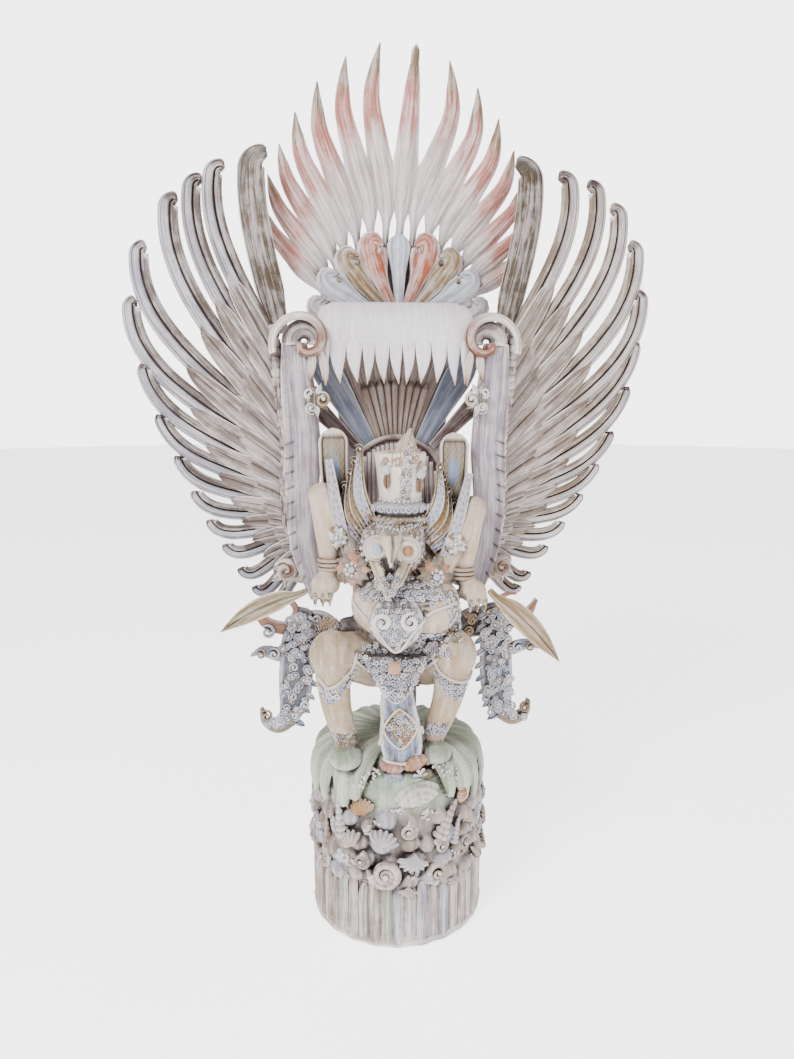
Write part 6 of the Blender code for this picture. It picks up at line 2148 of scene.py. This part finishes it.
piece(
    foot.mesh("fluted_foot"), "fluted_foot", "figure_on_base",
    worn_paint("limed_planks", wash=0.5, wear=0.45, dirt_and_shade=0.8, streaks=0.9)
)

# %% [markdown]
# ## Hip ornaments and hand leaves
#
# Each hip carries the end of a sash: blue-grey scrollwork with a hooked, gilded tail and an orange-brown
# curl. Each hand holds a long leaf whose middle is grooved.

# %% Hip ornaments
ornament_finish = worn_paint("worn_sash_paint", wash=0.12, wear=0.12, dirt_and_shade=1.0, streaks=0.4, flakes=0.05)


SASH_CURLS = 120
HIP_CURLS = 34


def sash_end(side, name):
    """The scrolled end of a sash on one hip."""
    carving = Carving()
    strokes = (
        (
            [(0.112, 0.014, 0.530), (0.150, 0.012, 0.548), (0.178, 0.010, 0.540)], (0.022, 0.030, 0.026),
            0.012, light(0.46, 0.44, 0.48)
        ),
        (
            [
                (0.172, 0, 0.584), (0.184, 0, 0.530), (0.187, -0.002, 0.470), (0.192, -0.002, 0.410),
                (0.206, 0, 0.364)
            ],
            (0.016, 0.027, 0.031, 0.029, 0.016), 0.010, light(0.46, 0.48, 0.56)
        ),
        (
            [(0.196, 0, 0.374), (0.222, 0, 0.358), (0.244, 0, 0.370), (0.252, 0, 0.394)],
            (0.014, 0.014, 0.011, 0.004), 0.009, light(0.66, 0.60, 0.48)
        ),
        (
            [(0.184, 0, 0.500), (0.215, 0.002, 0.497), (0.248, 0, 0.506), (0.268, 0, 0.498)],
            (0.014, 0.014, 0.011, 0.002), 0.009, light(0.66, 0.69, 0.76)
        ),
        (
            [(0.180, 0, 0.550), (0.212, 0.002, 0.548), (0.240, 0, 0.560), (0.262, 0, 0.592)],
            (0.014, 0.013, 0.011, 0.003), 0.008, light(0.70, 0.50, 0.38)
        ),
    )
    for n, (points, widths, depth, hue) in enumerate(strokes):
        rings = 34
        t = np.linspace(0, 1, rings)
        line = smooth_line([(side * x, y, z) for x, y, z in points], rings)
        half = through([(k / (len(widths) - 1), w) for k, w in enumerate(widths)], t)
        shape = slat(
            line, half, lambda s, t: depth * (1 - np.abs(s) ** 3) + 0.0025 * bell(np.abs(s), 0.86, 0.1),
            lambda s, t: depth * 0.9 + 0 * s, across=17, seed=n * 1.1
        )
        tip = ease(0.70, 0.95, shape.t) if n == 2 else 0 * shape.t
        colour = mixed(hue, light(0.86, 0.85, 0.86), 0.7 * bell(np.abs(shape.s), 0.88, 0.1) * shape.front)
        carving.add(shape, mixed(colour, light(0.60, 0.47, 0.30), 0.8 * tip))
    rng = np.random.default_rng(60 + side)
    for n in range(SASH_CURLS):
        k = rng.random()
        centre = through(
            [
                (0, (0.180, 0.575)), (0.3, (0.186, 0.520)), (0.6, (0.190, 0.440)), (0.85, (0.200, 0.380)),
                (1, (0.236, 0.366))
            ],
            k
        )
        reach = through([(0, 0.012), (0.2, 0.024), (0.8, 0.024), (0.93, 0.010), (1, 0.006)], k)
        x, z = centre + rng.uniform(-1, 1, 2) * (reach, 0.5 * min(reach, 0.014))
        hue = (
            light(0.80, 0.80, 0.84), SILVER, BLUE, BLUE, LAVENDER, light(0.60, 0.50, 0.42)
        )[rng.integers(6)]
        set_stamp(
            carving, SPIRALS[1 if n % 2 else -1], np.array((side * x, -0.0115, z)), FRONT,
            rng.uniform(0.0062, 0.0112), rng.uniform(0, 6.28), (hue, PALE)
        )
    for n in range(HIP_CURLS):
        k = rng.random()
        x, z = 0.108 + 0.076 * k, 0.532 + 0.018 * math.sin(math.pi * k) + rng.uniform(-0.022, 0.022)
        hue = (SILVER, light(0.74, 0.62, 0.46), LAVENDER, light(0.62, 0.46, 0.34))[rng.integers(4)]
        set_stamp(
            carving, SPIRALS[1 if n % 2 else -1], np.array((side * x, -0.0005, z)), FRONT,
            rng.uniform(0.0062, 0.0105), rng.uniform(0, 6.28), (hue, GOLD)
        )
    for x, z, size, hue in (
        (0.226, 0.503, 0.011, SILVER), (0.250, 0.503, 0.009, GOLD),
        (0.243, 0.384, 0.011, light(0.62, 0.50, 0.34)), (0.236, 0.545, 0.013, SILVER)
    ):
        curl(carving, (side * x, -0.011, z), size, 0.8, hue, PALE, side)
    for n in range(9):
        k = n / 8
        x, z = through(
            [(0, (0.160, 0.566)), (0.35, (0.156, 0.500)), (0.7, (0.162, 0.430)), (1, (0.184, 0.368))], k
        )
        leaf_tip = np.array((side * (x - 0.010), 0.0, z - 0.010))
        leaf(
            carving, [(side * (x + 0.012), 0, z + 0.004), (side * x, -0.006, z - 0.002), leaf_tip], 0.007,
            (SILVER, LAVENDER, BLUE)[n % 3], PALE, depth=0.005
        )
    rim_turn = np.radians(np.linspace(70, 250, 24))
    rim_line = np.stack(
        [
            side * (0.212 + 0.030 * -np.cos(rim_turn) * -1 * 0.9), np.full(24, -0.008),
            0.582 + 0.024 * np.sin(rim_turn)
        ],
        axis=1
    )
    carving.add(
        tube(
            rim_line, 0.006 * through([(0, 0.4), (0.5, 1), (1, 0.3)], np.linspace(0, 1, 24)), sides=8,
            face=FRONT
        ),
        light(0.70, 0.45, 0.34)
    )
    return piece(carving.mesh("carved_" + name), "carved_" + name, name, ornament_finish)


sash_end(-1, "right_hip_ornament")
sash_end(1, "left_hip_ornament")

# %% Hand leaves
leaf_finish = worn_paint("worn_leaf_paint", wash=0.25, wear=0.4, dirt_and_shade=0.5, streaks=1.2)


def hand_leaf(side, grip, tip, name, hue, edge_hue, half_width):
    """The long leaf in a hand."""
    carving = Carving()
    grip, tip = np.array(grip), np.array(tip)
    root = grip + (side * 0.0235, 0, 0)
    chord, sag = tip - root, np.array((0, -0.006, 0.010))
    line = smooth_line(
        [
            root, root + chord * 0.1, root + chord * 0.3 + sag * 0.7, root + chord * 0.6 + sag,
            root + chord * 0.85 + sag * 0.5, tip
        ],
        44
    )
    t = np.linspace(0, 1, 44)
    widths = half_width * through(
        [(0, 0.30), (0.12, 0.42), (0.3, 0.92), (0.5, 1.0), (0.7, 0.78), (0.88, 0.36), (1, 0.03)], t
    )
    face = np.array((0, -0.96, 0.28))
    front = lambda s, t: 0.0042 * (
        1 - 0.7 * np.abs(s) ** 2.5
    ) - 0.0022 * bell(s, 0.0, 0.09) - 0.0007 * bell(np.abs(s), 0.5, 0.05)
    shape = slat(
        line, widths, front, lambda s, t: 0.0028 * (1 - 0.5 * s**2), across=25, face=face, seed=side * 3.0
    )
    colour = mixed(hue, edge_hue, ease(0.72, 0.92, np.abs(shape.s)))
    colour = mixed(colour, light(0.46, 0.40, 0.30), 0.7 * bell(shape.s, 0, 0.09) * shape.front)
    carving.add(shape, colour)
    return piece(carving.mesh("carved_" + name), "carved_" + name, name, leaf_finish)


hand_leaf(
    -1, (-0.138, -0.086, 0.640), (-0.316, -0.040, 0.556), "right_hand_leaf", light(0.66, 0.60, 0.44),
    light(0.82, 0.78, 0.68), 0.0180
)
hand_leaf(
    1, (0.134, -0.068, 0.628), (0.297, -0.040, 0.483), "left_hand_leaf", light(0.72, 0.62, 0.48),
    light(0.80, 0.72, 0.60), 0.0205
)

# %% [markdown]
# ## Stage
#
# A pale floor that glows a little, soft light from all sides and a bright backdrop stand for the white
# studio. A lamp from above, left of the camera, and a weaker one from the right shape the forms. The camera
# stands at chest height in front of the statue and looks slightly down, as a person with a phone does.

# %% Floor, light and camera
CAMERA_TURN = math.radians(-5)
CAMERA_PITCH = math.radians(10)
CAMERA_DISTANCE = 1.393
CAMERA_HEIGHT = 0.9735
PHOTO_SIZE = (794, 1059)
FOCAL_PIXELS = 780
SOFT_LIGHT = 0.70
BACKDROP_LIGHT = 4.6
KEY_WATTS = 165
FILL_WATTS = 36
FLOOR_GLOW = 2.6


def stage():
    """A round pale floor."""
    bm = bmesh.new()
    bmesh.ops.create_circle(bm, cap_ends=True, segments=96, radius=14)
    mesh = bpy.data.meshes.new("studio_floor")
    bm.to_mesh(mesh)
    bm.free()
    floor = bpy.data.objects.new("studio_floor", mesh)
    bpy.context.collection.objects.link(floor)
    f = Finish("studio_paper")
    where = f.node("ShaderNodeTexCoord", output=3)
    tone = f.step(f.noise(where, 3.0), 0.3, 0.7)
    f.plug(f.shader.inputs["Base Color"], f.blend(tone, (0.90, 0.90, 0.90, 1), (0.94, 0.94, 0.94, 1)))
    f.shader.inputs["Roughness"].default_value = 0.9
    f.shader.inputs["Emission Color"].default_value = (1, 1, 1, 1)
    f.shader.inputs["Emission Strength"].default_value = FLOOR_GLOW
    mesh.materials.append(f.material)


def area_light(name, energy, size, place, target=(0, 0, 0.8)):
    """A soft square lamp that points at the statue."""
    lamp = bpy.data.lights.new(name, "AREA")
    lamp.energy, lamp.size = energy, size
    made = bpy.data.objects.new(name, lamp)
    bpy.context.collection.objects.link(made)
    made.location = place
    made.rotation_euler = (Vector(target) - Vector(place)).to_track_quat("-Z", "Y").to_euler()


def camera():
    """The camera of the photograph."""
    data = bpy.data.cameras.new("eye_height")
    data.sensor_width, data.sensor_fit = 36, "AUTO"
    data.lens = FOCAL_PIXELS / max(PHOTO_SIZE) * data.sensor_width
    made = bpy.data.objects.new("eye_height", data)
    bpy.context.collection.objects.link(made)
    made.location = (
        math.sin(CAMERA_TURN) * CAMERA_DISTANCE, -math.cos(CAMERA_TURN) * CAMERA_DISTANCE, CAMERA_HEIGHT
    )
    made.rotation_euler = (math.pi / 2 - CAMERA_PITCH, 0, CAMERA_TURN)
    bpy.context.scene.camera = made


stage()
world = bpy.data.worlds.new("studio_air")
bpy.context.scene.world = world
world.use_nodes = True
air = world.node_tree
soft, backdrop = air.nodes["Background"], air.nodes.new("ShaderNodeBackground")
for sky, strength in ((soft, SOFT_LIGHT), (backdrop, BACKDROP_LIGHT)):
    sky.inputs["Color"].default_value = (1, 1, 1, 1)
    sky.inputs["Strength"].default_value = strength
chooser, seen = air.nodes.new("ShaderNodeMixShader"), air.nodes.new("ShaderNodeLightPath")
air.links.new(seen.outputs["Is Camera Ray"], chooser.inputs[0])
air.links.new(soft.outputs[0], chooser.inputs[1])
air.links.new(backdrop.outputs[0], chooser.inputs[2])
air.links.new(chooser.outputs[0], air.nodes["World Output"].inputs["Surface"])
area_light("key_lamp", KEY_WATTS, 0.8, (-1.5, -1.9, 2.9))
area_light("fill_lamp", FILL_WATTS, 2.0, (2.2, -1.6, 1.4))
camera()
